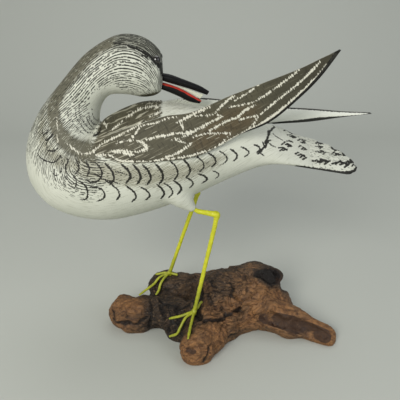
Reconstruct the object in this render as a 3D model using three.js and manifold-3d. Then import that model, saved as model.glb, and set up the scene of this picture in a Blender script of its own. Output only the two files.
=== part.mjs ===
// Shorebird decoy: a carved and painted wader that turns its neck to preen its back,
// standing on painted metal legs on a piece of driftwood.
// Millimetres, Z up. The bird faces -X, its left side faces -Y and the floor is Z = 0.

import * as THREE from 'three';
import { mergeVertices } from 'three/addons/utils/BufferGeometryUtils.js';
import Module from 'manifold-3d';

const wasm = await Module();
wasm.setup();

// Driving sizes, in millimetres
const BIRD_LENGTH = 227;          // from the breast to the tip of the right wing
const BODY_LEVEL = 130;           // height of the body's middle above the floor
const BASE_LENGTH = 170;          // driftwood, from the left knob to the tip of the spur
const LEG_ROD = 3;                // diameter of the metal leg rods
const TOE_WIRE = 2.1;             // diameter of the wire toes with their paint
const TOE_DROP = 16;              // how far a toe can hang below its foot
const PEG_DEPTH = 9;              // how far a leg rod goes into the driftwood
const THIGH_PEG = 6;              // how far a leg rod goes into the thigh
const EYE_DIAMETER = 5.4;
const EYE_SUNK = 1;               // from the surface of the head down to the middle of the eye
const WING_THICKNESS = 3.2;       // a wing blade where it is thickest
const WING_EDGE = 1.1;            // a wing blade along its edges
const WING_RELIEF = 1.8;          // how far a wing stands proud of the body
const TAIL_THICKNESS = 2.2;       // one tail feather
const TAIL_STEP = 0.7;            // height from one tail feather to the next
const PLUME_THICKNESS = 1.2;      // the loose feather in the bill
const FIT = 0.3;                  // gap between neighbouring pieces
const LEG_BORE = LEG_ROD / 2 + FIT; // radius of the holes that take the legs

// The carving is drawn in shares of the bird's length, from the middle of the body, and the
// driftwood in shares of its own length. These are the lengths that the two drawings have.
const BIRD_DRAWN = 99.4;
const WOOD_DRAWN = 96.3;
const SHARE = BIRD_LENGTH / BIRD_DRAWN;
const WOOD = BASE_LENGTH / WOOD_DRAWN;

const SIDES_OF_BODY = 20;
const SIDES_OF_ROD = 6;
const SIDES_OF_LEG = 8;
const SIDES_OF_THIGH = 12;
const SIDES_OF_BORE = 10;
const SIDES_OF_EYE = 12;
const UP = new THREE.Vector3(0, 0, 1);

function place(x, z, y = 0) {
  return new THREE.Vector3(x * SHARE, y * SHARE, BODY_LEVEL + z * SHARE);
}

// A closed skin over a row of rings that all have the same number of points
function skin(rings) {
  const count = rings[0].length;
  const points = rings.flat();
  const faces = [];
  for (let row = 0; row < rings.length - 1; row++) {
    for (let i = 0; i < count; i++) {
      const a = row * count + i;
      const b = row * count + (i + 1) % count;
      faces.push(a, b, a + count, b, b + count, a + count);
    }
  }
  for (const [row, order] of [[0, 1], [rings.length - 1, -1]]) {
    const middle = new THREE.Vector3();
    rings[row].forEach((point) => middle.addScaledVector(point, 1 / count));
    points.push(middle);
    for (let i = 0; i < count; i++) {
      const a = row * count + i;
      const b = row * count + (i + 1) % count;
      faces.push(...(order > 0 ? [b, a] : [a, b]), points.length - 1);
    }
  }
  let volume = 0;
  for (let i = 0; i < faces.length; i += 3) {
    const [a, b, c] = [points[faces[i]], points[faces[i + 1]], points[faces[i + 2]]];
    volume += a.dot(b.clone().cross(c));
  }
  if (volume < 0) faces.reverse();
  const geometry = new THREE.BufferGeometry().setFromPoints(points);
  geometry.setIndex(faces);
  return geometry;
}

function toSolid(geometry) {
  const bare = new THREE.BufferGeometry();
  bare.setAttribute('position', geometry.attributes.position);
  bare.setIndex(geometry.index);
  const merged = mergeVertices(bare, 1e-4);
  return new wasm.Manifold(new wasm.Mesh({
    numProp: 3,
    vertProperties: new Float32Array(merged.attributes.position.array),
    triVerts: new Uint32Array(merged.index.array),
  }));
}

function toGeometry(solid) {
  const mesh = solid.getMesh();
  const geometry = new THREE.BufferGeometry();
  geometry.setAttribute('position', new THREE.BufferAttribute(mesh.vertProperties, 3));
  geometry.setIndex(new THREE.BufferAttribute(mesh.triVerts, 1));
  geometry.computeVertexNormals();
  return geometry;
}

// Smooth rows between the drawn stations; a station is
// [outer x, outer z, inner x, inner z, half width, fullness, lean].
// Fullness is the share of the way from the inner to the outer line where the form is widest,
// and lean raises the far side and lowers the near side by that share of the width.
function between(stations, steps) {
  const line = (pick) => new THREE.CatmullRomCurve3(
    stations.map((row) => new THREE.Vector3(...pick(row))), false, 'centripetal');
  const outer = line((row) => [row[0], row[1], 0]);
  const inner = line((row) => [row[2], row[3], 0]);
  const shape = line((row) => row.slice(4, 7));
  const rows = [];
  for (let i = 0; i <= steps; i++) {
    const t = i / steps;
    const o = outer.getPoint(t);
    const n = inner.getPoint(t);
    rows.push([o.x, o.y, n.x, n.y, ...shape.getPoint(t).toArray()]);
  }
  return rows;
}

// Rings of a form that is carved between an outer and an inner line
function carve(rows, sides, grow = 0) {
  return rows.map(([ox, oz, ix, iz, halfWidth, fullness, lean]) => {
    const outer = place(ox, oz);
    const inner = place(ix, iz);
    const middle = inner.clone().lerp(outer, fullness);
    const across = outer.clone().sub(inner).normalize();
    const toOuter = outer.distanceTo(middle) + grow;
    const toInner = inner.distanceTo(middle) + grow;
    const ring = [];
    for (let i = 0; i < sides; i++) {
      const angle = 2 * Math.PI * i / sides;
      const side = Math.cos(angle) * (halfWidth * SHARE + grow);
      const along = Math.sin(angle) * (Math.sin(angle) > 0 ? toOuter : toInner);
      const point = middle.clone().addScaledVector(across, along);
      point.y += side;
      point.z += side * lean;
      ring.push(point);
    }
    return ring;
  });
}

// A round rod along a path, with a radius for each point of the path
function rod(points, radii, steps, sides = SIDES_OF_ROD) {
  const path = new THREE.CatmullRomCurve3(points, false, 'centripetal');
  const frames = path.computeFrenetFrames(steps, false);
  const rings = [];
  for (let i = 0; i <= steps; i++) {
    const t = path.getUtoTmapping(i / steps);
    const passed = t * (points.length - 1);
    const first = Math.min(Math.floor(passed), points.length - 2);
    const radius = THREE.MathUtils.lerp(radii[first], radii[first + 1], passed - first);
    const centre = path.getPoint(t);
    const ring = [];
    for (let k = 0; k < sides; k++) {
      const angle = 2 * Math.PI * k / sides;
      ring.push(centre.clone()
        .addScaledVector(frames.normals[i], radius * Math.cos(angle))
        .addScaledVector(frames.binormals[i], radius * Math.sin(angle)));
    }
    rings.push(ring);
  }
  return skin(rings);
}

// Head, neck, breast and belly: one form from the face over the neck to the root of the tail
const BODY_STATIONS = [
  [-9.9, 26.1, -10.3, 21.8, 1.8, 0.5, 0],
  [-10.4, 30.9, -12.1, 20.6, 4.6, 0.5, 0],
  [-14.3, 34.8, -15.1, 20.1, 6.1, 0.48, 0],
  [-20.8, 36, -20, 20.7, 6.5, 0.46, 0],
  [-28.9, 32.1, -24.7, 20.2, 6.2, 0.48, 0],
  [-37.1, 24.1, -27.1, 17.3, 6.1, 0.5, 0],
  [-45, 14.8, -28.1, 13.2, 7.7, 0.5, 0],
  [-49, 5.7, -28.4, 11, 10.1, 0.52, 0],
  [-48.9, -3.5, -28.4, 10.7, 12.5, 0.53, 0],
  [-44.3, -10.6, -28.1, 11.4, 14, 0.54, 0],
  [-36, -14.8, -26.8, 13.4, 14.9, 0.54, 0],
  [-26.3, -16, -22.8, 15.6, 15.1, 0.53, 0],
  [-15.8, -13.8, -14.9, 18, 14.7, 0.52, 0],
  [-3.5, -9.2, -3.9, 17.5, 13.2, 0.5, 0],
  [7.9, -3.5, 7, 15.1, 10.1, 0.48, 0.05],
  [17.3, 1.4, 17.5, 11.2, 7.6, 0.48, 0.25],
  [23, 3.6, 24, 7.9, 6.6, 0.5, 0.45],
  [28.4, 3.3, 29.2, 4.9, 5.2, 0.5, 0.52],
];
const BODY_STEPS = 38;

const bodyGeometry = skin(carve(between(BODY_STATIONS, BODY_STEPS), SIDES_OF_BODY));
const bodyMesh = new THREE.Mesh(bodyGeometry);
const ray = new THREE.Raycaster();

// Half width of the body at a place of its side view, or zero beside it
function halfWidthAt(x, z, side) {
  ray.set(new THREE.Vector3(x, side * BIRD_LENGTH, z), new THREE.Vector3(0, -side, 0));
  const hits = ray.intersectObject(bodyMesh);
  return hits.length ? Math.abs(hits[0].point.y) : 0;
}

// Wing edges in the side view, from the shoulder to the tip: [lower x, z, upper x, z, offset].
// The offset is how far the blade stands off the bird's middle plane where it is free.
const LEFT_WING = [
  [-26.4, 8.6, -26.2, 10.4, 6],
  [-21.5, 6.2, -21.4, 12.8, 8],
  [-10.3, 6.1, -9.3, 16.6, 8.5],
  [0, 7.3, -2.6, 17.6, 9],
  [10.3, 12, 7.7, 22.1, 9.5],
  [17.9, 15.4, 15.2, 25.1, 9.8],
  [25.1, 21.7, 24.7, 28.9, 10],
  [29.7, 26.7, 29.6, 31.3, 10],
  [34.1, 33.2, 33.9, 33.3, 10],
];
const RIGHT_WING = [
  [-26.4, 8.6, -26.2, 10.4, 6],
  [-21.5, 6.2, -21.4, 12.8, 7],
  [-10.3, 5.6, -8.3, 17, 7.5],
  [0, 6, 0, 17.6, 8],
  [10.3, 7.6, 10.3, 16.6, 8],
  [19.2, 9.7, 21.8, 15.2, 7.5],
  [31.9, 10.8, 33.2, 14.6, 7],
  [41.7, 12.2, 42.5, 13.8, 7],
  [49.9, 13.3, 49.9, 13.5, 7],
];
const WING_STEPS = 18;
const WING_ROWS = 5;
const WING_BLEND = 12;            // how softly a blade leaves the side of the body
const WING_TAPER = 1.5;           // how fast the bedded part thins out where a blade comes free

function softMax(a, b, blend) {
  const h = Math.max(blend - Math.abs(a - b), 0) / blend;
  return Math.max(a, b) + h * h * blend / 4;
}

// A leaf-shaped blade that lies on the side of the body and runs free behind it
function wing(stations, side) {
  const line = (pick) => new THREE.CatmullRomCurve3(
    stations.map((row) => new THREE.Vector3(...pick(row))), false, 'centripetal');
  const lower = line((row) => [row[0], row[1], row[4]]);
  const upper = line((row) => [row[2], row[3], row[4]]);
  const rings = [];
  for (let i = 0; i <= WING_STEPS; i++) {
    const t = i / WING_STEPS;
    const outside = [];
    const inside = [];
    for (let k = 0; k <= WING_ROWS; k++) {
      const share = k / WING_ROWS;
      const spot = lower.getPoint(t).lerp(upper.getPoint(t), share);
      const point = place(spot.x, spot.y);
      const body = halfWidthAt(point.x, point.z, side);
      const reach = softMax(body, spot.z * SHARE, WING_BLEND);
      const lens = Math.sqrt(Math.sin(Math.PI * share));
      const bedded = 2 * WING_RELIEF - WING_TAPER * (reach - body);
      const thick = Math.max(THREE.MathUtils.lerp(WING_EDGE, WING_THICKNESS, lens), bedded);
      outside.push(new THREE.Vector3(point.x, side * (reach + WING_RELIEF), point.z));
      inside.push(new THREE.Vector3(point.x, side * (reach + WING_RELIEF - thick), point.z));
    }
    rings.push([...outside, ...inside.reverse()]);
  }
  return skin(rings);
}

// Thighs: cones that leave the belly towards the tail and end around the leg rods.
// [x, z, half height] from inside the belly to the end, and how far they stand off the middle.
const THIGH = [
  [-7.2, -4.4, 4.2],
  [-4.6, -7.5, 3],
  [-2.7, -9.6, 1.7],
  [-1.5, -10.6, 1.15],
];
const LEFT_THIGH = { offset: -7.9, shift: 0 };
const RIGHT_THIGH = { offset: 8.6, shift: -5.6 };
const ANKLE = [4.9, -12.4];
const THIGH_STEPS = 6;
const THIGH_WALL = 0.8;           // wood left around the leg rod at the thin end

function thighLine({ offset, shift }) {
  return THIGH.map(([x, z]) => place(x + shift, z, offset));
}

function thigh(side) {
  const radii = THIGH.map((row) => Math.max(row[2] * SHARE, LEG_BORE + THIGH_WALL));
  return rod(thighLine(side), radii, THIGH_STEPS, SIDES_OF_THIGH);
}

// Tail: feathers that lie side by side and step back towards the right edge.
// [root across, tip along, tip across], in the plane of the tail.
const TAIL_FEATHERS = [
  [-4, 27, 1.1],
  [-2.2, 27.6, 1.6],
  [0, 26.6, 3.3],
  [2.2, 24.4, 5.2],
  [4.4, 21, 6.6],
  [6.2, 16.4, 7.2],
];
const FEATHER_HALF_WIDTH = 2.4;
const FEATHER_TIP = 3;            // length of the rounded end
const FEATHER_ROOT = -3;          // how far the feathers reach back into the rump
const FEATHER_STEPS = 6;
const FEATHER_END = 0.12;         // width left at the very end, as a share of the feather's
const HIGHEST_FEATHER = 1.5;      // the middle feathers lie on top
const TAIL_ROOT = [19.1, 6];
const TAIL_END = [45.6, -1.9, -1.3];
const TAIL_ROLL = THREE.MathUtils.degToRad(28);
// Section of a feather: share of the half width, share of the thickness
const FEATHER_SECTION = [[-1, -0.15], [-0.4, 0.5], [0.4, 0.5], [1, -0.15], [0.4, -0.5], [-0.4, -0.5]];

function tail() {
  const root = place(...TAIL_ROOT);
  const along = place(...TAIL_END).sub(root).normalize();
  const across = new THREE.Vector3(0, Math.cos(TAIL_ROLL), Math.sin(TAIL_ROLL));
  across.addScaledVector(along, -across.dot(along)).normalize();
  const normal = along.clone().cross(across);
  return TAIL_FEATHERS.map(([rootAcross, tipAlong, tipAcross], index) => {
    const level = TAIL_STEP * (1 - Math.abs(index - HIGHEST_FEATHER));
    const rings = [];
    for (let i = 0; i <= FEATHER_STEPS; i++) {
      const t = 1 - (1 - i / FEATHER_STEPS) ** 2;
      const s = THREE.MathUtils.lerp(FEATHER_ROOT, tipAlong, t);
      const middle = THREE.MathUtils.lerp(rootAcross, tipAcross, Math.max(s / tipAlong, 0));
      const inTip = Math.max((s - tipAlong) / FEATHER_TIP + 1, 0);
      const half = FEATHER_HALF_WIDTH * Math.max(Math.sqrt(1 - inTip * inTip), FEATHER_END);
      rings.push(FEATHER_SECTION.map(([wide, high]) => root.clone()
        .addScaledVector(along, s * SHARE)
        .addScaledVector(across, (middle + wide * half) * SHARE)
        .addScaledVector(normal, level + high * TAIL_THICKNESS)));
    }
    return skin(rings);
  });
}

// Bill: the two mandibles stand open; their roots sit in the face
const UPPER_MANDIBLE = [
  [-11.84, 26.3, -12.28, 24.74, 1.05, 0.5, 0],
  [-8.07, 25.7, -8.77, 23.6, 1.18, 0.5, 0],
  [-5.22, 24.69, -5.92, 22.76, 1.01, 0.5, 0],
  [-2.5, 23.68, -3.07, 21.93, 0.92, 0.5, 0],
  [0.26, 22.54, -0.44, 21.01, 0.83, 0.5, 0],
  [2.5, 21.2, 1.9, 20.2, 0.6, 0.5, 0],
];
const LOWER_MANDIBLE = [
  [-12.72, 24.08, -13.16, 22.37, 0.96, 0.5, 0],
  [-9.43, 23.42, -10.31, 21.67, 1.05, 0.5, 0],
  [-5.26, 21.93, -5.92, 19.87, 0.92, 0.5, 0],
  [-1.75, 20, -2.85, 18.38, 0.79, 0.5, 0],
  [0.44, 18.6, -0.22, 17.85, 0.5, 0.5, 0],
];
const BILL_STEPS = 9;
const BILL_SIDES = 10;

function mandible(stations, grow = 0) {
  return skin(carve(between(stations, BILL_STEPS), BILL_SIDES, grow));
}

// The loose feather fills the space between the facing lines of the open bill, from a point
// in its middle to a broad end near its tips.
const PLUME_STEPS = 8;
const PLUME_SIDES = 8;
const PLUME_FROM = 0.42;          // where it starts along the bill
const PLUME_TO = 0.93;
const PLUME_ROOM = 1.5;           // it clears the mandibles by this many fits

function plume() {
  const upper = new THREE.CatmullRomCurve3(
    between(UPPER_MANDIBLE, BILL_STEPS).map((row) => place(row[2], row[3])));
  const lower = new THREE.CatmullRomCurve3(
    between(LOWER_MANDIBLE, BILL_STEPS).map((row) => place(row[0], row[1])));
  const rings = [];
  for (let i = 0; i <= PLUME_STEPS; i++) {
    const t = THREE.MathUtils.lerp(PLUME_FROM, PLUME_TO, i / PLUME_STEPS);
    const high = upper.getPoint(t);
    const low = lower.getPoint(t);
    const gap = high.clone().sub(low).normalize();
    const half = PLUME_THICKNESS / 2 * Math.min(1, high.distanceTo(low) / 2);
    high.addScaledVector(gap, -PLUME_ROOM * FIT);
    low.addScaledVector(gap, PLUME_ROOM * FIT);
    const ring = [];
    for (let k = 0; k < PLUME_SIDES; k++) {
      const angle = 2 * Math.PI * k / PLUME_SIDES;
      const point = low.clone().lerp(high, 0.5 + 0.5 * Math.sin(angle));
      point.y += half * Math.cos(angle);
      ring.push(point);
    }
    rings.push(ring);
  }
  return skin(rings);
}

// Driftwood: tapered knobs that melt into one another.
// [x, y, z, radius, x, y, z, radius], drawn from the middle of the floor under the bird.
const KNOBS = [
  [-32.1, 0.6, 5.4, 7.4, -27.3, 0.9, 5.4, 7.1],
  [-29.5, -3.4, 2.3, 3.4, -25, -3.4, 2.3, 3.4],
  [-23, 0, 6, 6.6, -9.7, -2.3, 7.2, 7.3],
  [-11, -7, 3.4, 5, -7, -9.3, 3.4, 4.6],
  [-14.8, 13.6, 8.8, 8.5, -8, 13.6, 8.8, 8],
  [6.6, 4.5, 12.2, 10.2, 23.3, 8, 13.1, 11.2],
  [24.8, 10.8, 15.3, 7.8, 30, 9.7, 13.6, 6.9],
  [37.5, 3.4, 4, 4.4, 39.2, 1.7, 3.6, 4.3],
  [27, -1.5, 6.5, 7.6, 51.9, -9, 2.6, 4.9],
  [5, -6, 6, 7, 10.5, -4.5, 5, 6],
  [1.2, -5.1, 8, 8.3, -1, -20.3, 4.8, 7.3],
  [-6, 17, 5.1, 7.6, 17, 18.2, 6.5, 9.1],
  [-20, 6, 2.8, 7, 27.8, 7, 2.8, 7],
];
// Hollows that are worn into it, drawn the same way
const HOLLOWS = [
  [29, -8.6, 10.6, 2.6, 49.5, -12.8, 6.2, 2],
  [24.5, 1.6, 18.6, 2.8, 32, 4.8, 16.6, 3],
];
const MELT = 2.8;                 // how softly the knobs run into one another
const GRAIN = 0.9;                // height of the ripples in the worn surface
const CELL = 3.2;                 // size of the squares of the surface net
const NET_LOW = new THREE.Vector3(-46, -36, -9);
const NET_HIGH = new THREE.Vector3(64, 36, 34);

function knobDistance(point, [ax, ay, az, ar, bx, by, bz, br]) {
  const a = new THREE.Vector3(ax, ay, az);
  const run = new THREE.Vector3(bx, by, bz).sub(a);
  const share = THREE.MathUtils.clamp(point.clone().sub(a).dot(run) / run.lengthSq(), 0, 1);
  return point.distanceTo(a.addScaledVector(run, share)) - THREE.MathUtils.lerp(ar, br, share);
}

// Below zero inside the wood; the ripples are a slow wave and two quicker ones that cross
function woodField(point) {
  let field = Infinity;
  for (const knob of KNOBS) field = -softMax(-field, -knobDistance(point, knob), MELT);
  for (const hollow of HOLLOWS) field = softMax(field, -knobDistance(point, hollow), MELT / 2);
  const ripple = Math.sin(point.x / 1.8 + point.z / 2.3) * Math.sin(point.y / 2.1 - point.z / 2.8)
    + Math.sin(point.x / 3.6 - point.y / 3 + 1);
  return field - GRAIN * ripple / 2;
}

const CORNERS = [0, 1, 2, 3, 4, 5, 6, 7].map((n) => [n & 1, (n >> 1) & 1, (n >> 2) & 1]);

// The crossed edges of a grid cell as pairs of corners, one list for each separate sheet
function sheetsOf(inside) {
  const sheets = [];
  const join = (edges) => {
    const named = edges.map(([a, b]) => `${Math.min(a, b)} ${Math.max(a, b)}`);
    const touched = sheets.filter((sheet) => named.some((name) => sheet.has(name)));
    const joined = new Set([...named, ...touched.flatMap((sheet) => [...sheet])]);
    touched.forEach((sheet) => sheets.splice(sheets.indexOf(sheet), 1));
    sheets.push(joined);
  };
  for (const axis of [1, 2, 4]) {
    const [b, c] = [1, 2, 4].filter((bit) => bit !== axis);
    for (const side of [0, axis]) {
      const loop = [side, side | b, side | b | c, side | c];
      for (let n = 0; n < 4; n++) {
        const before = loop[(n + 3) % 4];
        if (!inside[loop[n]] || inside[before]) continue;
        let last = n;
        while (inside[loop[(last + 1) % 4]]) last++;
        join([[before, loop[n]], [loop[last % 4], loop[(last + 1) % 4]]]);
      }
    }
  }
  return sheets.map((sheet) => [...sheet].map((name) => name.split(' ').map(Number)));
}

// The zero surface of a field as one closed net of small squares
function net(field, low, high, cell) {
  const size = high.clone().sub(low).divideScalar(cell).ceil();
  const index = (i, j, k) => (i * (size.y + 1) + j) * (size.z + 1) + k;
  const spot = (i, j, k) => new THREE.Vector3(i, j, k).multiplyScalar(cell).add(low);
  const values = [];
  for (let i = 0; i <= size.x; i++) {
    for (let j = 0; j <= size.y; j++) {
      for (let k = 0; k <= size.z; k++) values.push(field(spot(i, j, k)));
    }
  }
  const points = [];
  const pointOf = new Map();
  for (let i = 0; i < size.x; i++) {
    for (let j = 0; j < size.y; j++) {
      for (let k = 0; k < size.z; k++) {
        const near = CORNERS.map(([a, b, c]) => [i + a, j + b, k + c]);
        const value = near.map((corner) => values[index(...corner)]);
        for (const sheet of sheetsOf(value.map((v) => v < 0))) {
          const sum = new THREE.Vector3();
          for (const [a, b] of sheet) {
            const share = value[a] / (value[a] - value[b]);
            sum.add(spot(...near[a]).lerp(spot(...near[b]), share));
            pointOf.set([i, j, k, a, b].join(), points.length);
          }
          points.push(sum.divideScalar(sheet.length));
        }
      }
    }
  }
  const faces = [];
  for (let i = 1; i < size.x; i++) {
    for (let j = 1; j < size.y; j++) {
      for (let k = 1; k < size.z; k++) {
        const inside = values[index(i, j, k)] < 0;
        for (const axis of [0, 1, 2]) {
          const next = [i, j, k];
          next[axis] += 1;
          if (inside === values[index(...next)] < 0) continue;
          const quad = [[0, 0], [1, 0], [1, 1], [0, 1]].map(([p, q]) => {
            const back = [0, 0, 0];
            back[(axis + 1) % 3] = p;
            back[(axis + 2) % 3] = q;
            const corner = back[0] + 2 * back[1] + 4 * back[2];
            const cellAt = [i - back[0], j - back[1], k - back[2]];
            return pointOf.get([...cellAt, corner, corner + 2 ** axis].join());
          });
          if (!inside) quad.reverse();
          faces.push(quad[0], quad[1], quad[2], quad[0], quad[2], quad[3]);
        }
      }
    }
  }
  const geometry = new THREE.BufferGeometry().setFromPoints(points);
  geometry.setIndex(faces);
  return geometry;
}

// Where the feet stand on the driftwood, in the units of its drawing
const LEFT_FOOT = [-2.3, -10.5];
const RIGHT_FOOT = [-13.6, 13.2];
// Toes in plan, from the middle of the foot, in millimetres
const LEFT_TOES = [
  [[-9, 0], [-18.5, 1.5]],
  [[-5, -3], [-10, -8], [-12, -9.5], [-18, -8]],
  [[-2, -11], [-4, -25]],
  [[3, 4], [5.5, 8]],
];
const RIGHT_TOES = [
  [[-11, -8], [-22.5, -18]],
  [[-6, 1], [-11.5, 1]],
  [[-5, -9], [-10, -16]],
  [[3.5, -1], [6.5, -2]],
];

const woodGeometry = net(woodField, NET_LOW, NET_HIGH, CELL).scale(WOOD, WOOD, WOOD);
const floorCutter = new THREE.BoxGeometry(2 * BASE_LENGTH, 2 * BASE_LENGTH, BASE_LENGTH);
floorCutter.translate(0, 0, -BASE_LENGTH / 2);
// Crumbs that a hollow cuts loose are dropped
let woodSolid = toSolid(woodGeometry).subtract(toSolid(floorCutter)).decompose()
  .reduce((whole, crumb) => (crumb.volume() > whole.volume() ? crumb : whole));
const woodMesh = new THREE.Mesh(toGeometry(woodSolid));

function woodTop(x, y) {
  ray.set(new THREE.Vector3(x, y, BASE_LENGTH), new THREE.Vector3(0, 0, -1));
  const hits = ray.intersectObject(woodMesh);
  return hits.length ? hits[0].point.z : 0;
}

const TOE_STEPS = 7;
const AROUND = 8;                 // places tried around a spot of the wood
const TOE_ROOM = 1.5;             // a toe clears the wood by this many fits

// The highest wood under a round spot, so that a wire over it stays clear
function restHeight(x, y, radius) {
  let height = woodTop(x, y);
  for (let i = 0; i < AROUND; i++) {
    const angle = 2 * Math.PI * i / AROUND;
    height = Math.max(height, woodTop(x + radius * Math.cos(angle), y + radius * Math.sin(angle)));
  }
  return height;
}

// A stiff wire: straight from the foot to its end, pushed up where the wood stands in its way
function toe(foot, bends) {
  const plan = new THREE.CatmullRomCurve3(
    [[0, 0], ...bends].map(([x, y]) => new THREE.Vector3(foot.x + x, foot.y + y, 0)));
  const wire = TOE_WIRE / 2;
  const rest = (spot) => restHeight(spot.x, spot.y, TOE_WIRE) + wire + TOE_ROOM * FIT;
  const end = Math.max(rest(plan.getPoint(1)), foot.z - TOE_DROP);
  const points = [];
  for (let i = 0; i <= TOE_STEPS; i++) {
    const point = plan.getPoint(i / TOE_STEPS);
    point.z = THREE.MathUtils.lerp(foot.z, end, i / TOE_STEPS);
    if (i > 0) point.z = Math.max(point.z, rest(point));
    points.push(point);
  }
  const radii = points.map((_, i) => (i === TOE_STEPS ? 0.6 : 1) * wire);
  return rod(points, radii, TOE_STEPS + 1);
}

// A leg: rod from the thigh over the ankle to the foot, its peg, and the wire toes.
// The swell is the radius along its path, as a share of the rod's; the other shares are too.
const SWELL = [1, 1, 1, 1, 1.25, 1.6, 1.1, 1, 1, 1, 1];
const SWELL_LENGTH = 2.5;         // how far the swollen ankle reaches along the rod
const KNOT = 1.35;                // radius of the lump of paint where the toes meet
const KNOT_RAISED = 0.33;
const LEG_STEPS = 20;

function legParts(side, [footX, footY], toes) {
  const radius = LEG_ROD / 2;
  const [above, end] = thighLine(side).slice(-2);
  const out = end.clone().sub(above).normalize();
  const ankle = place(ANKLE[0] + side.shift, ANKLE[1], side.offset);
  const run = ankle.clone().sub(end).normalize();
  const foot = new THREE.Vector3(footX * WOOD, footY * WOOD, 0);
  foot.z = restHeight(foot.x, foot.y, LEG_ROD) + TOE_WIRE / 2 + FIT;
  const down = foot.clone().sub(ankle).normalize();
  const from = (point, direction, distance) => point.clone().addScaledVector(direction, distance);
  const path = [
    from(end, out, -THIGH_PEG),
    from(end, out, -THIGH_PEG / 2),
    end,
    from(end, out, radius),
    from(ankle, run, -SWELL_LENGTH * radius),
    from(ankle, run, -0.3 * radius),
    from(ankle, down, SWELL_LENGTH * radius),
    ankle.clone().lerp(foot, 0.5),
    from(foot, down, -3 * radius),
    foot,
    from(foot, UP, -PEG_DEPTH),
  ];
  const knot = new THREE.SphereGeometry(KNOT * radius, 8, 5).translate(...foot.toArray());
  knot.translate(0, 0, KNOT_RAISED * radius);
  let solid = toSolid(rod(path, SWELL.map((share) => share * radius), LEG_STEPS, SIDES_OF_LEG));
  const pieces = [knot, ...toes.map((bends) => toe(foot, bends))];
  for (const piece of pieces) solid = solid.add(toSolid(piece));
  const bore = (a, b) => toSolid(rod([a, b], [LEG_BORE, LEG_BORE], 1, SIDES_OF_BORE));
  return {
    solid,
    socket: bore(from(end, out, -THIGH_PEG - FIT), from(end, out, LEG_ROD)),
    well: bore(from(foot, UP, LEG_ROD), from(foot, UP, -PEG_DEPTH - FIT)),
  };
}

const leftLeg = legParts(LEFT_THIGH, LEFT_FOOT, LEFT_TOES);
const rightLeg = legParts(RIGHT_THIGH, RIGHT_FOOT, RIGHT_TOES);
woodSolid = woodSolid.subtract(leftLeg.well).subtract(rightLeg.well);

// Eyes: small glass beads, sunk into round sockets
const EYE_PLACE = [-11.3, 29.9];

function eyeCentre(side) {
  const point = place(...EYE_PLACE);
  point.y = side * (halfWidthAt(point.x, point.z, side) - EYE_SUNK);
  return point;
}

function eyeBall(side, grow = 0) {
  return new THREE.SphereGeometry(EYE_DIAMETER / 2 + grow, SIDES_OF_EYE, 7)
    .translate(...eyeCentre(side).toArray());
}

let birdSolid = toSolid(bodyGeometry);
for (const piece of [
  wing(LEFT_WING, -1), wing(RIGHT_WING, 1), thigh(LEFT_THIGH), thigh(RIGHT_THIGH), ...tail(),
]) {
  birdSolid = birdSolid.add(toSolid(piece));
}
for (const piece of [
  mandible(UPPER_MANDIBLE, FIT), mandible(LOWER_MANDIBLE, FIT), eyeBall(-1, FIT), eyeBall(1, FIT),
]) {
  birdSolid = birdSolid.subtract(toSolid(piece));
}
birdSolid = birdSolid.subtract(leftLeg.socket).subtract(rightLeg.socket);

const group = new THREE.Group();
group.name = 'shorebird_decoy';

function addPiece(name, geometry, color, roughness, metalness = 0) {
  const material = new THREE.MeshStandardMaterial({ color, roughness, metalness });
  const mesh = new THREE.Mesh(geometry, material);
  mesh.name = name;
  group.add(mesh);
}

addPiece('carved_bird', toGeometry(birdSolid), 0xd9d8cc, 0.7);
addPiece('upper_mandible', mandible(UPPER_MANDIBLE), 0x15151a, 0.4);
addPiece('lower_mandible', mandible(LOWER_MANDIBLE), 0x1a1416, 0.4);
addPiece('preened_feather', plume(), 0xcfd2bd, 0.7);
addPiece('left_eye', eyeBall(-1), 0x0c0a08, 0.1);
addPiece('right_eye', eyeBall(1), 0x0c0a08, 0.1);
addPiece('left_leg', toGeometry(leftLeg.solid), 0xc9cc2c, 0.5, 0.1);
addPiece('right_leg', toGeometry(rightLeg.solid), 0xc9cc2c, 0.5, 0.1);
addPiece('driftwood_base', toGeometry(woodSolid), 0x5a3a28, 0.85);

export default group;
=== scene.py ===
# %% [markdown]
# # A preening shorebird on driftwood
# The real thing is a life-size wader, carved from soft wood and painted by hand. It turns its
# neck right round to preen its back, and its yellow metal legs are pegged into driftwood.
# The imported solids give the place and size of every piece. Here each piece is carved again
# with a finer surface and then painted, in the same frame, so that nothing has to be fitted.

# %% Load the frame
import math

import bmesh
import bpy
import numpy as np
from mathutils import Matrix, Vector
from mathutils.bvhtree import BVHTree


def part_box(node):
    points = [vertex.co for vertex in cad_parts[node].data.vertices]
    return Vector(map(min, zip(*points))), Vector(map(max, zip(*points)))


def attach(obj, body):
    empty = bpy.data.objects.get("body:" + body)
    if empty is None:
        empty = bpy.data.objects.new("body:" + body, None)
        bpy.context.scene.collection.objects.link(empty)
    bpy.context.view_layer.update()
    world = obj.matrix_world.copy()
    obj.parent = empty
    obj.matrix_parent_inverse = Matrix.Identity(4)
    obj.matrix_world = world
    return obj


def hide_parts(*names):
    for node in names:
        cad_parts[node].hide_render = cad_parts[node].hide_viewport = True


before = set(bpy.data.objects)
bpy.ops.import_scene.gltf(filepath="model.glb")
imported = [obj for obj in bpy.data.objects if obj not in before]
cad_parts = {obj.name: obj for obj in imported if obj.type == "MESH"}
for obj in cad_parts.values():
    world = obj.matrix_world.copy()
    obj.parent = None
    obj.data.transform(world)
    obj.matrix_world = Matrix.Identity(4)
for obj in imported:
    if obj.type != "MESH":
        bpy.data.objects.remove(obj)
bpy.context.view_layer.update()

# %% [markdown]
# ## Sizes
# All sizes are real millimetres. A carver draws the bird on paper first, so its curves are
# drawn in shares of its length, from the middle of the body, and the driftwood in shares of
# its own length. Two numbers turn the drawings into millimetres.

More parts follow.
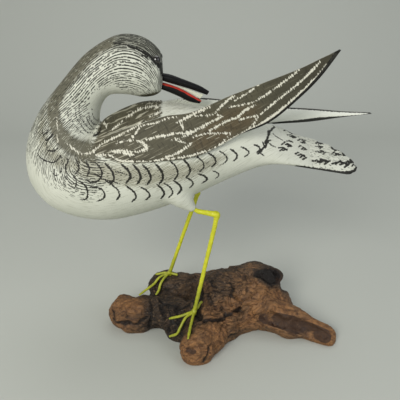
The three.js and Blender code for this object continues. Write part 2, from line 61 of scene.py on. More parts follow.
# %% Sizes of the carving
BIRD_LENGTH = 227.0        # breast to the tip of the right wing
BIRD_DRAWN = 99.4          # the same length in the drawing
BASE_LENGTH = 170.0        # driftwood, left knob to the tip of the spur
WOOD_DRAWN = 96.3
BODY_LEVEL = 130.0         # height of the middle of the body above the floor
SHARE = BIRD_LENGTH / BIRD_DRAWN
WOOD = BASE_LENGTH / WOOD_DRAWN
MM = 0.001                 # Blender's unit is the metre
LEFT, RIGHT = -1, 1        # the bird's left side faces -Y, and the camera


def place(x, z, y=0.0):
    """A place of the drawing, in millimetres."""
    return np.array([x * SHARE, y * SHARE, BODY_LEVEL + z * SHARE])


# %% [markdown]
# ## Small helpers
# One function adds a shader or geometry node with its settings and links, and a table says in
# what order each kind takes its values. One turns an sRGB hex colour to the linear values that
# Blender works in. One makes an object from points in millimetres, with its place kept in its
# mesh.

# %% Helpers for nodes, colours and meshes
# The steps of a tree: node, inputs that the values fill in turn, output, settings. A ramp takes
# a value, where it starts and ends, and what it gives at its end and its start. Any other word
# is the operation of a Math node.
STEPS = {
    "place": ("ShaderNodeTexCoord", (), "Object", {}),
    "field": ("ShaderNodeAttribute", (), "Fac", {}),
    "stored": ("GeometryNodeInputNamedAttribute", ("Name",), 0, {"data_type": "FLOAT"}),
    "join": ("ShaderNodeCombineXYZ", (0, 1, 2), 0, {}),
    "split": ("ShaderNodeSeparateXYZ", (0,), 0, {}),
    "stretch": ("ShaderNodeMapping", ("Vector", "Scale", "Rotation"), 0, {}),
    "noise": ("ShaderNodeTexNoise", ("Vector", "Scale", "Detail", "Roughness"), 0, {}),
    "ramp": ("ShaderNodeMapRange", (0, 1, 2, 4, 3), 0, {}),
    "soft ramp": ("ShaderNodeMapRange", (0, 1, 2, 4), 0, {"interpolation_type": "SMOOTHSTEP"}),
    "mix": ("ShaderNodeMix", (0, 6, 7), 2, {"data_type": "RGBA"}),
}


def add_node(tree, kind, values=None, **settings):
    """Adds a node; each value is a number for an input or the output that is linked to it."""
    made = tree.nodes.new(kind)
    for name, value in settings.items():
        setattr(made, name, value)
    for socket, value in (values or {}).items():
        target = made.inputs[socket]
        if isinstance(value, bpy.types.NodeSocket):
            tree.links.new(value, target)
        else:
            target.default_value = value
    return made


def steps_of(tree):
    """The function that adds steps to a tree: step(word, values), which gives an output."""
    def step(word, *values, output=None, **settings):
        maths = ("ShaderNodeMath", (0, 1, 2), 0, {"operation": word})
        kind, inputs, usual_output, fixed = STEPS.get(word, maths)
        made = add_node(tree, kind, dict(zip(inputs, values)), **fixed, **settings)
        return made.outputs[usual_output if output is None else output]
    return step


def colour(hex_value):
    """An sRGB hex colour as linear values."""
    parts = [int(hex_value[i:i + 2], 16) / 255 for i in (1, 3, 5)]
    linear = [p / 12.92 if p <= 0.04045 else ((p + 0.055) / 1.055) ** 2.4 for p in parts]
    return (*linear, 1.0)


def new_material(name):
    """A material, and the function that adds the steps of its paint."""
    made = bpy.data.materials.new(name)
    made.use_nodes = True
    made.node_tree.nodes.clear()
    return made, steps_of(made.node_tree)


def finish_material(made, paint, roughness, relief=None, gloss=None):
    """Lays the paint on the surface; relief is a height, its strength and its millimetres."""
    tree = made.node_tree
    values = {"Base Color": paint, "Roughness": roughness, **(gloss or {})}
    if relief:
        height, strength, depth = relief
        bump = add_node(tree, "ShaderNodeBump", {
            "Height": height, "Strength": strength, "Distance": depth * MM})
        values["Normal"] = bump.outputs[0]
    surface = add_node(tree, "ShaderNodeBsdfPrincipled", values)
    add_node(tree, "ShaderNodeOutputMaterial", {"Surface": surface.outputs[0]})


def link_object(name, data):
    made = bpy.data.objects.new(name, data)
    bpy.context.scene.collection.objects.link(made)
    return made


def dress(mesh, material=None):
    """One material all over, and smooth shading."""
    mesh.materials.clear()
    if material:
        mesh.materials.append(material)
    mesh.polygons.foreach_set("use_smooth", [True] * len(mesh.polygons))


def make_object(name, points, faces, material=None, edges=()):
    mesh = bpy.data.meshes.new(name)
    mesh.from_pydata((np.asarray(points) * MM).tolist(), list(edges), [list(map(int, f)) for f in faces])
    mesh.update()
    dress(mesh, material)
    return link_object(name, mesh)


def read_vectors(mesh, name):
    flat = np.zeros(3 * len(mesh.vertices), np.float32)
    mesh.vertices.foreach_get(name, flat)
    return flat.reshape(-1, 3).astype(float)


def read_points(mesh):
    return read_vectors(mesh, "co") / MM


def write_points(mesh, points):
    mesh.vertices.foreach_set("co", (points * MM).astype(np.float32).ravel())
    mesh.update()


def write_fields(mesh, fields):
    """Keeps a number for each point of the mesh under each name, for its shader to read."""
    for name, values in fields.items():
        field = mesh.attributes.get(name) or mesh.attributes.new(name, "FLOAT", "POINT")
        field.data.foreach_set("value", np.asarray(values, np.float32))


# %% [markdown]
# ## Curves and skins
# The forms are lofts: a carver cuts the side view first, then the width at each station.
# A smooth curve runs through the stations, and a skin of rings is laid over them.


# %% Curves and skins
def smooth_line(points, samples):
    """Centripetal Catmull-Rom curve through the points, at shares 0 to 1 of its stations."""
    p = np.asarray(points, float)
    last = len(p) - 1
    p = np.vstack([2 * p[0] - p[1], p, 2 * p[-1] - p[-2]])
    t = np.clip(np.asarray(samples, float) * last, 0, last)
    i = np.minimum(t.astype(int), last - 1)
    w = (t - i)[:, None]
    p0, p1, p2, p3 = p[i], p[i + 1], p[i + 2], p[i + 3]

    def knot_gap(a, b):
        return np.sum((a - b) ** 2, axis=1)[:, None] ** 0.25

    d0, d1, d2 = knot_gap(p0, p1), knot_gap(p1, p2), knot_gap(p2, p3)
    d1 = np.where(d1 < 1e-4, 1, d1)
    d0 = np.where(d0 < 1e-4, d1, d0)
    d2 = np.where(d2 < 1e-4, d1, d2)
    m1 = ((p1 - p0) / d0 - (p2 - p0) / (d0 + d1) + (p2 - p1) / d1) * d1
    m2 = ((p2 - p1) / d1 - (p3 - p1) / (d1 + d2) + (p3 - p2) / d2) * d1
    return (p1 + m1 * w + (3 * (p2 - p1) - 2 * m1 - m2) * w ** 2
            + (2 * (p1 - p2) + m1 + m2) * w ** 3)


def turns(count):
    """Evenly spaced angles, once round."""
    return 2 * np.pi * np.arange(count) / count


def unit(way):
    """The same direction with a length of one."""
    return way / np.linalg.norm(way)


def to_segment(points, a, b):
    """Share of the way from a to b beside each point, and the point's distance from it."""
    run = b - a
    share = np.clip((points - a) @ run / max(run @ run, 1e-9), 0, 1)
    return share, np.linalg.norm(points - a - share[:, None] * run, axis=1)


def soft_max(a, b, blend):
    """The larger of two values, with a rounded change from one to the other."""
    near = np.maximum(blend - np.abs(a - b), 0) / blend
    return np.maximum(a, b) + near * near * blend / 4


def surface_of(points, faces):
    """A surface that can be asked for its nearest place or be hit by a ray."""
    return BVHTree.FromPolygons([Vector(p) for p in points], faces)


def skin(rings):
    """Closed skin over rings of equal count; returns points and faces."""
    rings = np.asarray(rings, float)
    rows, count = rings.shape[:2]
    points = list(rings.reshape(-1, 3))
    faces = []
    for row in range(rows - 1):
        for i in range(count):
            a, b = row * count + i, row * count + (i + 1) % count
            faces.append((a, b, b + count, a + count))
    for row in (0, rows - 1):
        points.append(rings[row].mean(axis=0))
        for i in range(count):
            a, b = row * count + i, row * count + (i + 1) % count
            faces.append((b, a, len(points) - 1) if row == 0 else (a, b, len(points) - 1))
    p = np.array(points)
    volume = sum(np.dot(p[f[0]], np.cross(p[f[1]], p[f[2]])) for f in faces)
    volume += sum(np.dot(p[f[0]], np.cross(p[f[2]], p[f[3]])) for f in faces if len(f) == 4)
    if volume < 0:               # a skin that is inside out
        faces = [f[::-1] for f in faces]
    return p, faces


def stations(table, steps):
    """Rows [outer x, outer z, inner x, inner z, half width, fullness, lean] of a form."""
    t = np.linspace(0, 1, steps + 1)
    table = np.asarray(table, float)
    return np.hstack([smooth_line(table[:, 0:2], t), smooth_line(table[:, 2:4], t),
                      smooth_line(table[:, 4:7], t)])


def carve(rows, sides):
    """Rings of a form that is carved between an outer and an inner line."""
    rings = []
    angle = turns(sides)
    for ox, oz, ix, iz, half_width, fullness, lean in rows:
        outer, inner = place(ox, oz), place(ix, iz)
        middle = inner + (outer - inner) * fullness
        across = unit(outer - inner)
        to_outer, to_inner = np.linalg.norm(outer - middle), np.linalg.norm(inner - middle)
        side = np.cos(angle) * half_width * SHARE
        along = np.sin(angle) * np.where(np.sin(angle) > 0, to_outer, to_inner)
        ring = middle + along[:, None] * across
        ring[:, 1] += side
        ring[:, 2] += side * lean
        rings.append(ring)
    return rings


def tube(points, radii, sides):
    """Rings of a round rod along points, turned as little as possible on the way."""
    points = np.asarray(points, float)
    runs = np.gradient(points, axis=0)
    runs /= np.linalg.norm(runs, axis=1)[:, None]
    normal = np.cross(runs[0], [0, 1, 0.01])
    rings = []
    angle = turns(sides)
    for point, run, radius in zip(points, runs, radii):
        normal = unit(normal - run * np.dot(normal, run))
        other = np.cross(run, normal)
        rings.append(point + radius * (np.cos(angle)[:, None] * normal
                                       + np.sin(angle)[:, None] * other))
    return rings


# %% [markdown]
# ## Camera, floor and light
# The photograph looks down by 24 degrees from a little above the bird's head. The floor is a
# pale paper sweep that rises behind the object. The light is a large soft window from the
# upper left, with a weak fill and a soft lamp above, so that no hard shadow hides the carving.

# %% Camera, floor and light
CAMERA_AT = (0.0, -0.300, 0.238)
CAMERA_DOWN = 24.0         # degrees below the horizon
FOCAL_SHARE = 480 / 400    # focal length as a share of the picture's width
SENSOR = 36                # millimetres
PAPER_REACH = 2500.0       # how far the paper runs to each side
SWEEP_FROM = 500.0         # where it starts to rise
SWEEP_RADIUS = 350.0
ROOM_LIGHT = 0.41          # strength of the light that comes from all around
# place, aim and size in metres, power in watts, colour
LAMPS = {
    "window": [(-0.40, -0.85, 0.62), (0, 0, 0.11), 0.45, 8.2, "#fffdf6"],
    "fill": [(0.9, -0.6, 0.5), (0, 0, 0.1), 0.8, 2.3, "#eef3ff"],
    "top": [(0.1, 0.35, 1.1), (0, 0.05, 0.1), 0.8, 3.0, "#ffffff"],
}

camera = link_object("camera", bpy.data.cameras.new("camera"))
camera.location = CAMERA_AT
camera.rotation_euler = (math.radians(90 - CAMERA_DOWN), 0, 0)
camera.data.sensor_width = SENSOR
camera.data.lens = SENSOR * FOCAL_SHARE
camera.data.clip_start = 0.01
bpy.context.scene.camera = camera

# matt paper gives back no reflection of the lamps
paper = new_material("paper_matt_pale_grey")[0]
finish_material(paper, colour("#bcbfb8"), 0.9)
sweep = [(SWEEP_FROM + SWEEP_RADIUS * math.sin(a), SWEEP_RADIUS * (1 - math.cos(a)))
         for a in np.linspace(0, math.pi / 2, 24)]
sweep = [(-PAPER_REACH, 0.0), *sweep, (SWEEP_FROM + SWEEP_RADIUS, PAPER_REACH)]
sweep_points = [(x, y, z) for y, z in sweep for x in (-PAPER_REACH, PAPER_REACH)]
sweep_faces = [(2 * i, 2 * i + 1, 2 * i + 3, 2 * i + 2) for i in range(len(sweep) - 1)]
floor = make_object("floor", sweep_points, sweep_faces, paper)

for name, (at, aim, size, energy, tint) in LAMPS.items():
    lamp = bpy.data.lights.new(name, "AREA")
    lamp.size = size
    lamp.energy = energy
    lamp.color = colour(tint)[:3]
    made = link_object(name, lamp)
    made.location = at
    made.rotation_euler = (Vector(aim) - Vector(at)).to_track_quat("-Z", "Y").to_euler()
world = bpy.data.worlds.new("studio")
world.use_nodes = True
sky = world.node_tree.nodes["Background"]
sky.inputs["Color"].default_value = colour("#dfe2e4")
sky.inputs["Strength"].default_value = ROOM_LIGHT
bpy.context.scene.world = world
bpy.context.scene.view_settings.view_transform = "Standard"
print("camera and", len(LAMPS), "lamps are set")

# %% [markdown]
# ## The body
# Head, neck, breast and belly are one carved form. The table gives the outer and the inner
# line of the side view, the half width, how full the section is, and how far the tail leans.
# The thighs are thin cones. Both are joined by a voxel remesh, which welds wood to wood, and
# the joints are then smoothed as with sandpaper.

# %% Carve the body
BODY_STATIONS = [
    [-9.9, 26.1, -10.3, 21.8, 1.8, 0.5, 0], [-10.4, 30.9, -12.1, 20.6, 4.6, 0.5, 0],
    [-14.3, 34.8, -15.1, 20.1, 6.1, 0.48, 0], [-20.8, 36, -20, 20.7, 6.5, 0.46, 0],
    [-28.9, 32.1, -24.7, 20.2, 6.2, 0.48, 0], [-37.1, 24.1, -27.1, 17.3, 6.1, 0.5, 0],
    [-45, 14.8, -28.1, 13.2, 7.7, 0.5, 0], [-49, 5.7, -28.4, 11, 10.1, 0.52, 0],
    [-48.9, -3.5, -28.4, 10.7, 12.5, 0.53, 0], [-44.3, -10.6, -28.1, 11.4, 14, 0.54, 0],
    [-36, -14.8, -26.8, 13.4, 14.9, 0.54, 0], [-26.3, -16, -22.8, 15.6, 15.1, 0.53, 0],
    [-15.8, -13.8, -14.9, 18, 14.7, 0.52, 0], [-3.5, -9.2, -3.9, 17.5, 13.2, 0.5, 0],
    [7.9, -3.5, 7, 15.1, 10.1, 0.48, 0.05], [17.3, 1.4, 17.5, 11.2, 7.6, 0.48, 0.25],
    [23, 3.6, 24, 7.9, 6.6, 0.5, 0.45], [28.4, 3.3, 29.2, 4.9, 5.2, 0.5, 0.52],
    [32.0, 2.2, 32.3, 2.9, 4.2, 0.5, 0.52],
]
BODY_STEPS = 300
BODY_SIDES = 96
# x, z and radius of a thigh, from the belly down
THIGH = np.array([[-7.2, -4.4, 4.2], [-4.6, -7.5, 3.0], [-2.7, -9.6, 1.7], [-1.5, -10.6, 1.15]])
THIGHS = {LEFT: (-7.9, 0.0), RIGHT: (8.6, -5.6)}     # distance from the middle, shift along
JOINT_REACH = 12.0          # how far round a thigh's root the wood is sanded
NET = 0.96                  # mesh size of the welded skin

body_rows = stations(BODY_STATIONS, BODY_STEPS)
body_loft = skin(carve(body_rows, BODY_SIDES))
BODY_SURFACE = surface_of(*body_loft)


def half_width_at(x, z, side):
    """Half width of the body at a place of its side view, or zero beside it."""
    hit = BODY_SURFACE.ray_cast(Vector((x, side * BIRD_LENGTH, z)), Vector((0, -side, 0)))
    return abs(hit[0].y) if hit[0] else 0.0


def thigh_line(side):
    offset, shift = THIGHS[side]
    return np.array([place(x + shift, z, offset) for x, z, _ in THIGH])


def weld(name, parts, net):
    """Joins closed skins into one by a voxel remesh."""
    points, faces = [], []
    for part_points, part_faces in parts:
        start = len(points)
        points += list(part_points)
        faces += [tuple(i + start for i in f) for f in part_faces]
    made = make_object(name, points, faces)
    weld_all = made.modifiers.new("weld", "REMESH")
    weld_all.mode = "VOXEL"
    weld_all.voxel_size = net * MM
    bake(made)
    return made


def bake(made, material=None):
    """Turns the result of the modifiers into a plain mesh."""
    graph = bpy.context.evaluated_depsgraph_get()
    plain = bpy.data.meshes.new_from_object(made.evaluated_get(graph))
    made.modifiers.clear()
    made.data = plain
    dress(plain, material)


def smooth(made, rounds, weights=None):
    """Relaxes the points towards their neighbours; weights say where."""
    mesh = made.data
    ends = np.zeros(2 * len(mesh.edges), np.int32)
    mesh.edges.foreach_get("vertices", ends)
    ends = ends.reshape(-1, 2)
    points = read_points(mesh)
    count = np.bincount(ends.ravel(), minlength=len(points)).astype(float)[:, None]
    weights = np.ones(len(points)) if weights is None else weights
    for _ in range(rounds):
        total = np.zeros_like(points)
        np.add.at(total, ends[:, 0], points[ends[:, 1]])
        np.add.at(total, ends[:, 1], points[ends[:, 0]])
        points += 0.5 * weights[:, None] * (total / count - points)
    write_points(mesh, points)


thigh_skins = []
for side in (LEFT, RIGHT):
    t = np.linspace(0, 1, 24)
    radii = np.interp(t, np.linspace(0, 1, len(THIGH)), THIGH[:, 2]) * SHARE
    thigh_skins.append(skin(tube(smooth_line(thigh_line(side), t), radii, 32)))
body = weld("bird_body", [body_loft, *thigh_skins], NET)
smooth(body, 3)
points = read_points(body.data)
near_thigh = np.zeros(len(points))
for side in (LEFT, RIGHT):
    root = (thigh_line(side)[0] + thigh_line(side)[1]) / 2
    gap = np.linalg.norm(points - root, axis=1)
    near_thigh = np.maximum(near_thigh, np.clip(1.6 - gap / JOINT_REACH, 0, 1))
smooth(body, 18, near_thigh)
print("body welded:", len(body.data.vertices), "points")

# %% [markdown]
# ## Where a point lies on the bird
# The painter's brush follows the form: streaks run along the neck and turn with it. So each
# point of the skin learns how far along the bird it lies, and how far round.

# %% Coordinates that follow the form
row_outer = np.array([place(r[0], r[1])[[0, 2]] for r in body_rows])
row_inner = np.array([place(r[2], r[3])[[0, 2]] for r in body_rows])
row_middle = (row_outer + row_inner) / 2
row_length = np.concatenate([[0], np.cumsum(np.linalg.norm(np.diff(row_middle, axis=0), axis=1))])
row_line = row_outer - row_inner
row_size = np.linalg.norm(row_line, axis=1)
row_run = np.gradient(row_middle, axis=0)
row_normal = np.stack([row_line[:, 1], -row_line[:, 0]], axis=1) / row_size[:, None]
row_normal *= np.sign(np.sum(row_normal * row_run, axis=1))[:, None]
BATCH = 8000                # points that are placed at once, so that the tables fit in memory


def where_on_body(points):
    """For each point: millimetres along the bird, and the angle round it, 0 at the outer line."""
    along, angle = np.zeros(len(points)), np.zeros(len(points))
    for start in range(0, len(points), BATCH):
        part = points[start:start + BATCH]
        flat = part[:, None, [0, 2]] - row_inner[None]
        share = np.sum(flat * row_line, axis=2) / row_size ** 2
        ahead = np.sum(flat * row_normal, axis=2)
        beside = np.maximum(np.abs(share - 0.5) - 0.5, 0) * row_size
        row = np.argmin(ahead ** 2 + 4 * beside ** 2, axis=1)
        pick = np.arange(len(part))
        other = np.clip(row + np.sign(ahead[pick, row]).astype(int), 0, len(row_size) - 1)
        a, b = ahead[pick, row], ahead[pick, other]
        mix = np.where(np.abs(a - b) > 1e-9, np.clip(a / np.where(a == b, 1, a - b), 0, 1), 0)
        along[start:start + BATCH] = row_length[row] * (1 - mix) + row_length[other] * mix
        s = share[pick, row] * (1 - mix) + share[pick, other] * mix
        full = body_rows[row, 5]
        up = np.where(s > full, (s - full) / (1 - full), (s - full) / full)
        out = -part[:, 1] / (body_rows[row, 4] * SHARE)
        angle[start:start + BATCH] = np.arctan2(out, up)
    return along, angle


def drawn(points):
    """Points of the side view in the units of the drawing."""
    return np.stack([points[:, 0] / SHARE, (points[:, 2] - BODY_LEVEL) / SHARE], axis=1)


# %% [markdown]
# ## The painter's drawing
# The feather edges, the bars on the flank and the stripe through the eye are brush marks.
# Each is drawn once in the side view, as its half width in millimetres and the points that
# the brush passes. Regions with their own ground colour are drawn as outlines.

# %% Brush marks and regions of the left side
FEATHER_EDGES = [
    [0.35, [-28.5, 7.7], [-25.0, 10.0], [-20.0, 12.5], [-15.4, 14.8]],
    [0.3, [-19.3, 15.6], [-16.0, 17.4], [-12.3, 17.9], [-9.5, 17.8]],
    [0.3, [-13.2, 16.0], [-9.4, 17.4]],
    [0.35, [-17.7, 11.5], [-16.7, 12.6], [-15.1, 14.4], [-11.6, 15.1], [-9.0, 16.0], [-6.1, 16.7]],
    [0.35, [-6.1, 16.7], [-5.0, 15.3], [-4.2, 13.5]],
    [0.45, [-13.8, 11.3], [-11.5, 11.9], [-9.0, 12.3], [-6.4, 12.8]],
    [0.55, [-6.4, 12.8], [-2.9, 12.9], [-0.6, 13.7], [2.6, 15.2], [5.8, 16.8]],
    [0.75, [-5.8, 15.3], [-2.9, 16.7], [-0.6, 17.9], [2.5, 19.4]],
    [0.3, [-1.6, 16.8], [1.3, 17.0], [4.5, 17.2], [5.8, 16.7]],
    [0.5, [3.5, 17.3], [5.7, 19.7], [7.6, 21.5], [9.1, 22.2]],
    [0.35, [8.5, 20.7], [11.0, 22.2], [13.4, 23.9], [15.5, 25.8], [16.7, 26.1]],
    [0.35, [6.7, 19.0], [9.5, 19.6], [13.6, 20.5]],
    [0.5, [13.9, 20.8], [16.9, 22.7], [20.2, 25.2], [22.8, 27.2], [24.3, 28.7], [23.7, 28.3]],
    [0.35, [-7.7, 11.2], [-5.8, 11.5], [-1.9, 12.9], [1.3, 14.1]],
    [0.65, [2.3, 13.1], [5.2, 14.6], [8.3, 16.2], [9.6, 16.6], [11.5, 18.5], [13.9, 19.8]],
    [0.4, [10.0, 15.9], [12.8, 16.7], [15.0, 17.1]],
    [0.5, [15.3, 17.3], [17.7, 19.5], [20.4, 21.8], [22.5, 23.6], [25.6, 26.4], [27.6, 28.5],
     [29.4, 30.6]],
    [0.35, [-1.9, 11.8], [1.3, 12.5], [5.2, 12.5], [8.1, 12.5]],
    [0.35, [8.1, 12.5], [6.5, 10.8], [3.9, 9.0], [1.3, 7.9]],
    [0.3, [15.0, 17.1], [14.1, 15.3], [12.3, 13.3], [10.0, 10.7]],
    [0.35, [-7.4, 11.4], [-5.1, 10.9], [-2.3, 10.2]],
    [0.6, [-2.3, 10.2], [-4.5, 8.8], [-7.1, 7.6], [-9.7, 6.7]],
    [0.4, [-21.6, 10.2], [-18.3, 11.1], [-16.0, 11.0], [-14.1, 10.4], [-13.5, 9.5],
     [-15.7, 8.5], [-18.9, 8.6], [-21.9, 8.5]],
    [0.8, [-14.6, 10.2], [-13.6, 9.4], [-15.1, 8.8]],
    [0.4, [-27.4, 7.1], [-23.2, 7.3], [-21.2, 6.3], [-16.7, 6.1], [-12.2, 6.2]],
    [0.5, [-23.2, 8.3], [-19.9, 8.1], [-17.0, 7.7]],
    [0.45, [-12.2, 6.2], [-9.7, 6.6], [-6.4, 6.8], [-1.9, 7.4], [1.3, 8.2], [3.9, 8.9]],
    [0.5, [3.9, 8.9], [6.5, 10.2], [10.0, 11.9], [12.6, 13.3], [15.5, 14.9]],
    [0.9, [15.5, 14.9], [17.9, 16.4], [19.8, 17.9], [21.5, 19.5]],
    [0.7, [21.5, 19.5], [24.4, 22.2], [27.0, 25.0], [28.7, 26.8]],
    [0.6, [28.7, 26.8], [31.1, 29.8], [32.2, 31.4], [33.1, 32.6]],
    [0.3, [-26.1, 13.4], [-25.0, 13.4], [-25.0, 13.0]],
    [0.3, [-23.1, 12.9], [-21.8, 13.7], [-20.6, 14.8]],
    [0.05, [-37.7, 15.6], [-37.6, 11.4], [-37.6, 9.5]],
    [0.25, [-36.5, 10.7], [-34.4, 8.7], [-33.1, 7.7], [-31.7, 7.1], [-29.9, 7.2], [-28.0, 7.7],
     [-26.3, 9.1], [-24.7, 10.5]],
]
# where the two rows of bars on the flank stand along the bird
UPPER_BARS = [-22.4, -18.1, -15.5, -12.9, -9.7, -5.8, -2.6, 1, 4.2, 7.2, 9.9, 13.1, 16.2]
LOWER_BARS = [-21.3, -17.1, -13.5, -9.7, -7.4, -5.1, -1.9, 1.9, 5.1]
# hooks and strokes where the flank meets the breast
BREAST_BARS = [
    [0.4, [-41.8, 12.9], [-41.6, 11.4], [-40.8, 11.7], [-39.9, 12.9]],
    [0.65, [-40.8, 9.9], [-40.1, 10.4], [-39.4, 11.0], [-38.8, 11.6]],
    [0.5, [-40.3, 7.7], [-39.3, 7.5], [-38.3, 7.7], [-37.5, 8.4]],
    [0.45, [-43.9, 7.2], [-42.6, 5.9], [-41.4, 5.3], [-40.2, 5.0], [-38.5, 4.9], [-37.4, 5.7],
     [-36.7, 6.6]],
    [0.3, [-36.7, 6.6], [-36.2, 4.6], [-36.5, 3.1], [-37.0, 2.1]],
    [0.45, [-34.9, 6.2], [-34.7, 5.1], [-35.3, 4.2], [-35.2, 3.2], [-34.7, 2.0]],
    [0.5, [-32.6, 5.8], [-31.7, 4.3], [-31.8, 3.4], [-32.7, 2.4]],
    [0.55, [-29.8, 5.4], [-28.9, 4.3], [-28.9, 3.3], [-29.5, 1.9]],
    [0.6, [-27.3, 5.5], [-26.0, 4.4], [-25.5, 3.2], [-25.8, 1.9], [-26.9, 0.7], [-28.5, 0.5],
     [-29.8, 1.3]],
    [0.45, [-33.3, 2.1], [-32.5, 1.1], [-32.4, 0.1], [-32.9, -1.2]],
    [0.55, [-32.0, 0.9], [-30.4, -0.1], [-29.6, -1.7], [-29.8, -3.5], [-30.3, -4.4], [-31.7, -4.6]],
    [0.55, [-28.9, -0.8], [-27.3, -0.9], [-26.0, -1.3], [-25.2, -2.6], [-25.6, -4.1], [-27.6, -5.2]],
    [0.3, [-36.3, 2.2], [-35.2, 1.5], [-34.4, 0.5], [-33.4, -0.1], [-32.4, 0.1]],
    [0.3, [-39.3, 2.8], [-38.0, 1.7], [-37.1, 2.1]], [0.22, [-41.6, 11.2], [-40.8, 9.9], [-40.3, 7.7]],
    [0.22, [-39.9, 9.9], [-39.1, 9.0], [-38.3, 7.8]], [0.5, [-27.6, 2.6], [-26.6, 2.3], [-25.6, 1.8]],
    [0.5, [-24.8, 1.4], [-24.0, 0.5], [-23.0, 1.1]], [0.35, [-26.1, 1.6], [-23.5, 0.9], [-20.9, 0.1]],
    [0.35, [-22.4, 3.4], [-19.8, 2.9], [-18.2, 2.1]],
]


def row_of_bars(places, tops, heights, chance):
    """Bars like closing brackets; each hangs from the edge of a flank feather."""
    bars = []
    for x in places:
        top = np.interp(x, [-35, -12, 4, 16], tops)
        tall = np.interp(x, [-35, -26, -6, 5, 16], heights) * chance.uniform(0.9, 1.1)
        lean = chance.uniform(0.8, 1.2)
        width = chance.uniform(0.52, 0.76) * (1 if x < 3 else 0.8)
        bars.append([width, [x - 2.2 * lean, top], [x - 0.5 * lean, top - 0.32 * tall],
                     [x, top - 0.68 * tall], [x - 1.2 * lean, top - tall]])
    return bars


hand = np.random.default_rng(21)
FLANK_BARS = (row_of_bars(UPPER_BARS, [5.8, 5.1, 7.4, 8.4], [3.4, 5.4, 5.4, 4.2, 2.2], hand)
              + row_of_bars(LOWER_BARS, [1.2, -0.9, 2.2, 3], [5, 5, 5, 3, 3], hand) + BREAST_BARS)
# short strokes on the rump between the wings
RUMP_LINES = [
    [0.6, [19.7, 10.4], [19.3, 9.7], [18.4, 9.2]], [0.7, [18.9, 9.4], [18.1, 8.6], [17.6, 8.2]],
    [0.6, [18.5, 8.2], [17.6, 7.6], [17.0, 7.1]], [0.75, [17.2, 7.3], [16.4, 6.5], [15.6, 6.0]],
    [0.4, [15.7, 6.6], [16.5, 5.9], [17.4, 5.3]], [0.35, [18.4, 8.6], [19.7, 7.4], [20.9, 6.9]],
]
EYE_STRIPE = [
    [0.35, [-22.0, 34.2], [-19.6, 33.9], [-17.7, 33.6]], [0.6, [-18.6, 33.7], [-15.9, 32.8], [-14.0, 31.9]],
    [0.9, [-14.6, 32.2], [-12.8, 31.1], [-11.8, 29.7]], [1.3, [-12.1, 30.4], [-10.8, 29.0], [-10.4, 28.3]],
    [0.6, [-10.4, 28.4], [-10.1, 26.8], [-9.9, 25.4]], [0.6, [-14.9, 31.4], [-13.1, 30.8]],
    [0.45, [-26.9, 13.0], [-26.7, 11.9], [-29.0, 10.4]],
]
# dark lines that bend round where the neck meets the breast
NECK_LINES = [
    [0.22, [-31.9, 18.0], [-31.8, 16.1], [-30.8, 13.8], [-29.6, 11.8], [-26.9, 11.6]],
    [0.2, [-32.9, 18.1], [-32.6, 15.7], [-31.7, 13.5], [-30.5, 11.4], [-28.7, 10.5]],
    [0.2, [-31.0, 17.4], [-29.9, 18.4], [-29.0, 19.4]],
    [0.2, [-29.7, 16.6], [-29.6, 14.9], [-29.0, 12.9], [-27.4, 12.1]],
    [0.2, [-30.4, 15.4], [-29.9, 13.6], [-28.9, 11.5]],
    [0.16, [-34.0, 16.3], [-33.6, 14.3], [-32.5, 12.6], [-31.2, 11.0]],
    [0.2, [-31.2, 19.8], [-31.8, 18.6], [-31.8, 17.2]],
    [0.16, [-32.1, 18.6], [-30.4, 20.3], [-29.5, 21.1]],
    [0.16, [-28.9, 17.6], [-28.9, 15.5], [-28.3, 13.6], [-27.0, 12.9]],
    [0.16, [-34.6, 18.6], [-34.7, 16.4], [-34.1, 14.5]],
]
# outlines of the regions, round which each goes once
WING_CLOAK = [
    [-28.5, 7.7], [-27.4, 11.1], [-28.1, 13.6], [-23.2, 17.8], [-19.5, 19.3], [-15.6, 21.0],
    [-11.8, 21.7], [-8.1, 21.5], [-7.1, 20.3], [-9.4, 17.5], [-9.8, 16.8], [-7.4, 16.3], [-3.9, 17.4],
    [-0.8, 18.1], [1.8, 19.8], [9.0, 22.6], [16.9, 26.3], [24.5, 29.4], [33.2, 33.0], [34.5, 34.0],
    [32.9, 31.0], [29.1, 26.2], [25.1, 21.5], [21.5, 18.2], [17.4, 15.0], [12.1, 12.4], [6.6, 9.4],
    [1.3, 7.9], [-2.6, 7.2], [-6.5, 6.5], [-11.7, 5.6], [-16.8, 5.4], [-21.2, 5.6], [-24.7, 6.6],
]
NAPE_BAND = [
    [-21.0, 38], [-25.0, 37], [-28.1, 35], [-32.5, 31], [-36, 27], [-38.5, 23.1], [-40.9, 18.6],
    [-40.9, 15.9], [-39.9, 12.9], [-38.6, 10.0], [-36.5, 7.8], [-33.8, 6.3], [-30.5, 5.3], [-27.0, 5.4],
    [-25.5, 8.5], [-26.6, 10.4], [-29.5, 9.6], [-31.5, 9.9], [-33.4, 10.9], [-35.3, 12.8],
    [-36.6, 15.5], [-36.6, 18.5], [-35.4, 20.8], [-33.5, 23.4], [-30.9, 26.2], [-28.4, 28.9],
    [-25.2, 31.6], [-21.5, 33.0],
]
CROWN = [
    [-21.0, 38], [-16.7, 38], [-12.7, 37], [-9.5, 35], [-8.5, 31.3], [-10.7, 29.2], [-12.3, 31.2],
    [-14.8, 32.7], [-18.3, 33.9], [-22.0, 32.8],
]
STREAKED_BREAST = [
    [-50, 6.0], [-48, 16.0], [-43, 23], [-36.2, 20.0], [-32.1, 9.8], [-26.0, 7.9], [-23.9, 6.1],
    [-24.5, 1.0], [-26.5, -3.5], [-31.0, -4.6], [-35.5, -2.6], [-40.0, 0.0], [-44.0, 3.0],
]
BROWN_PATCH = [
    [3.1, 15.4], [6.4, 18.0], [10.9, 19.0], [14.7, 19.1], [14.4, 15.9], [10.4, 13.3], [6.5, 11.3],
    [2.6, 9.5], [-1.0, 8.6], [-2.1, 10.6], [1.3, 13.4],
]
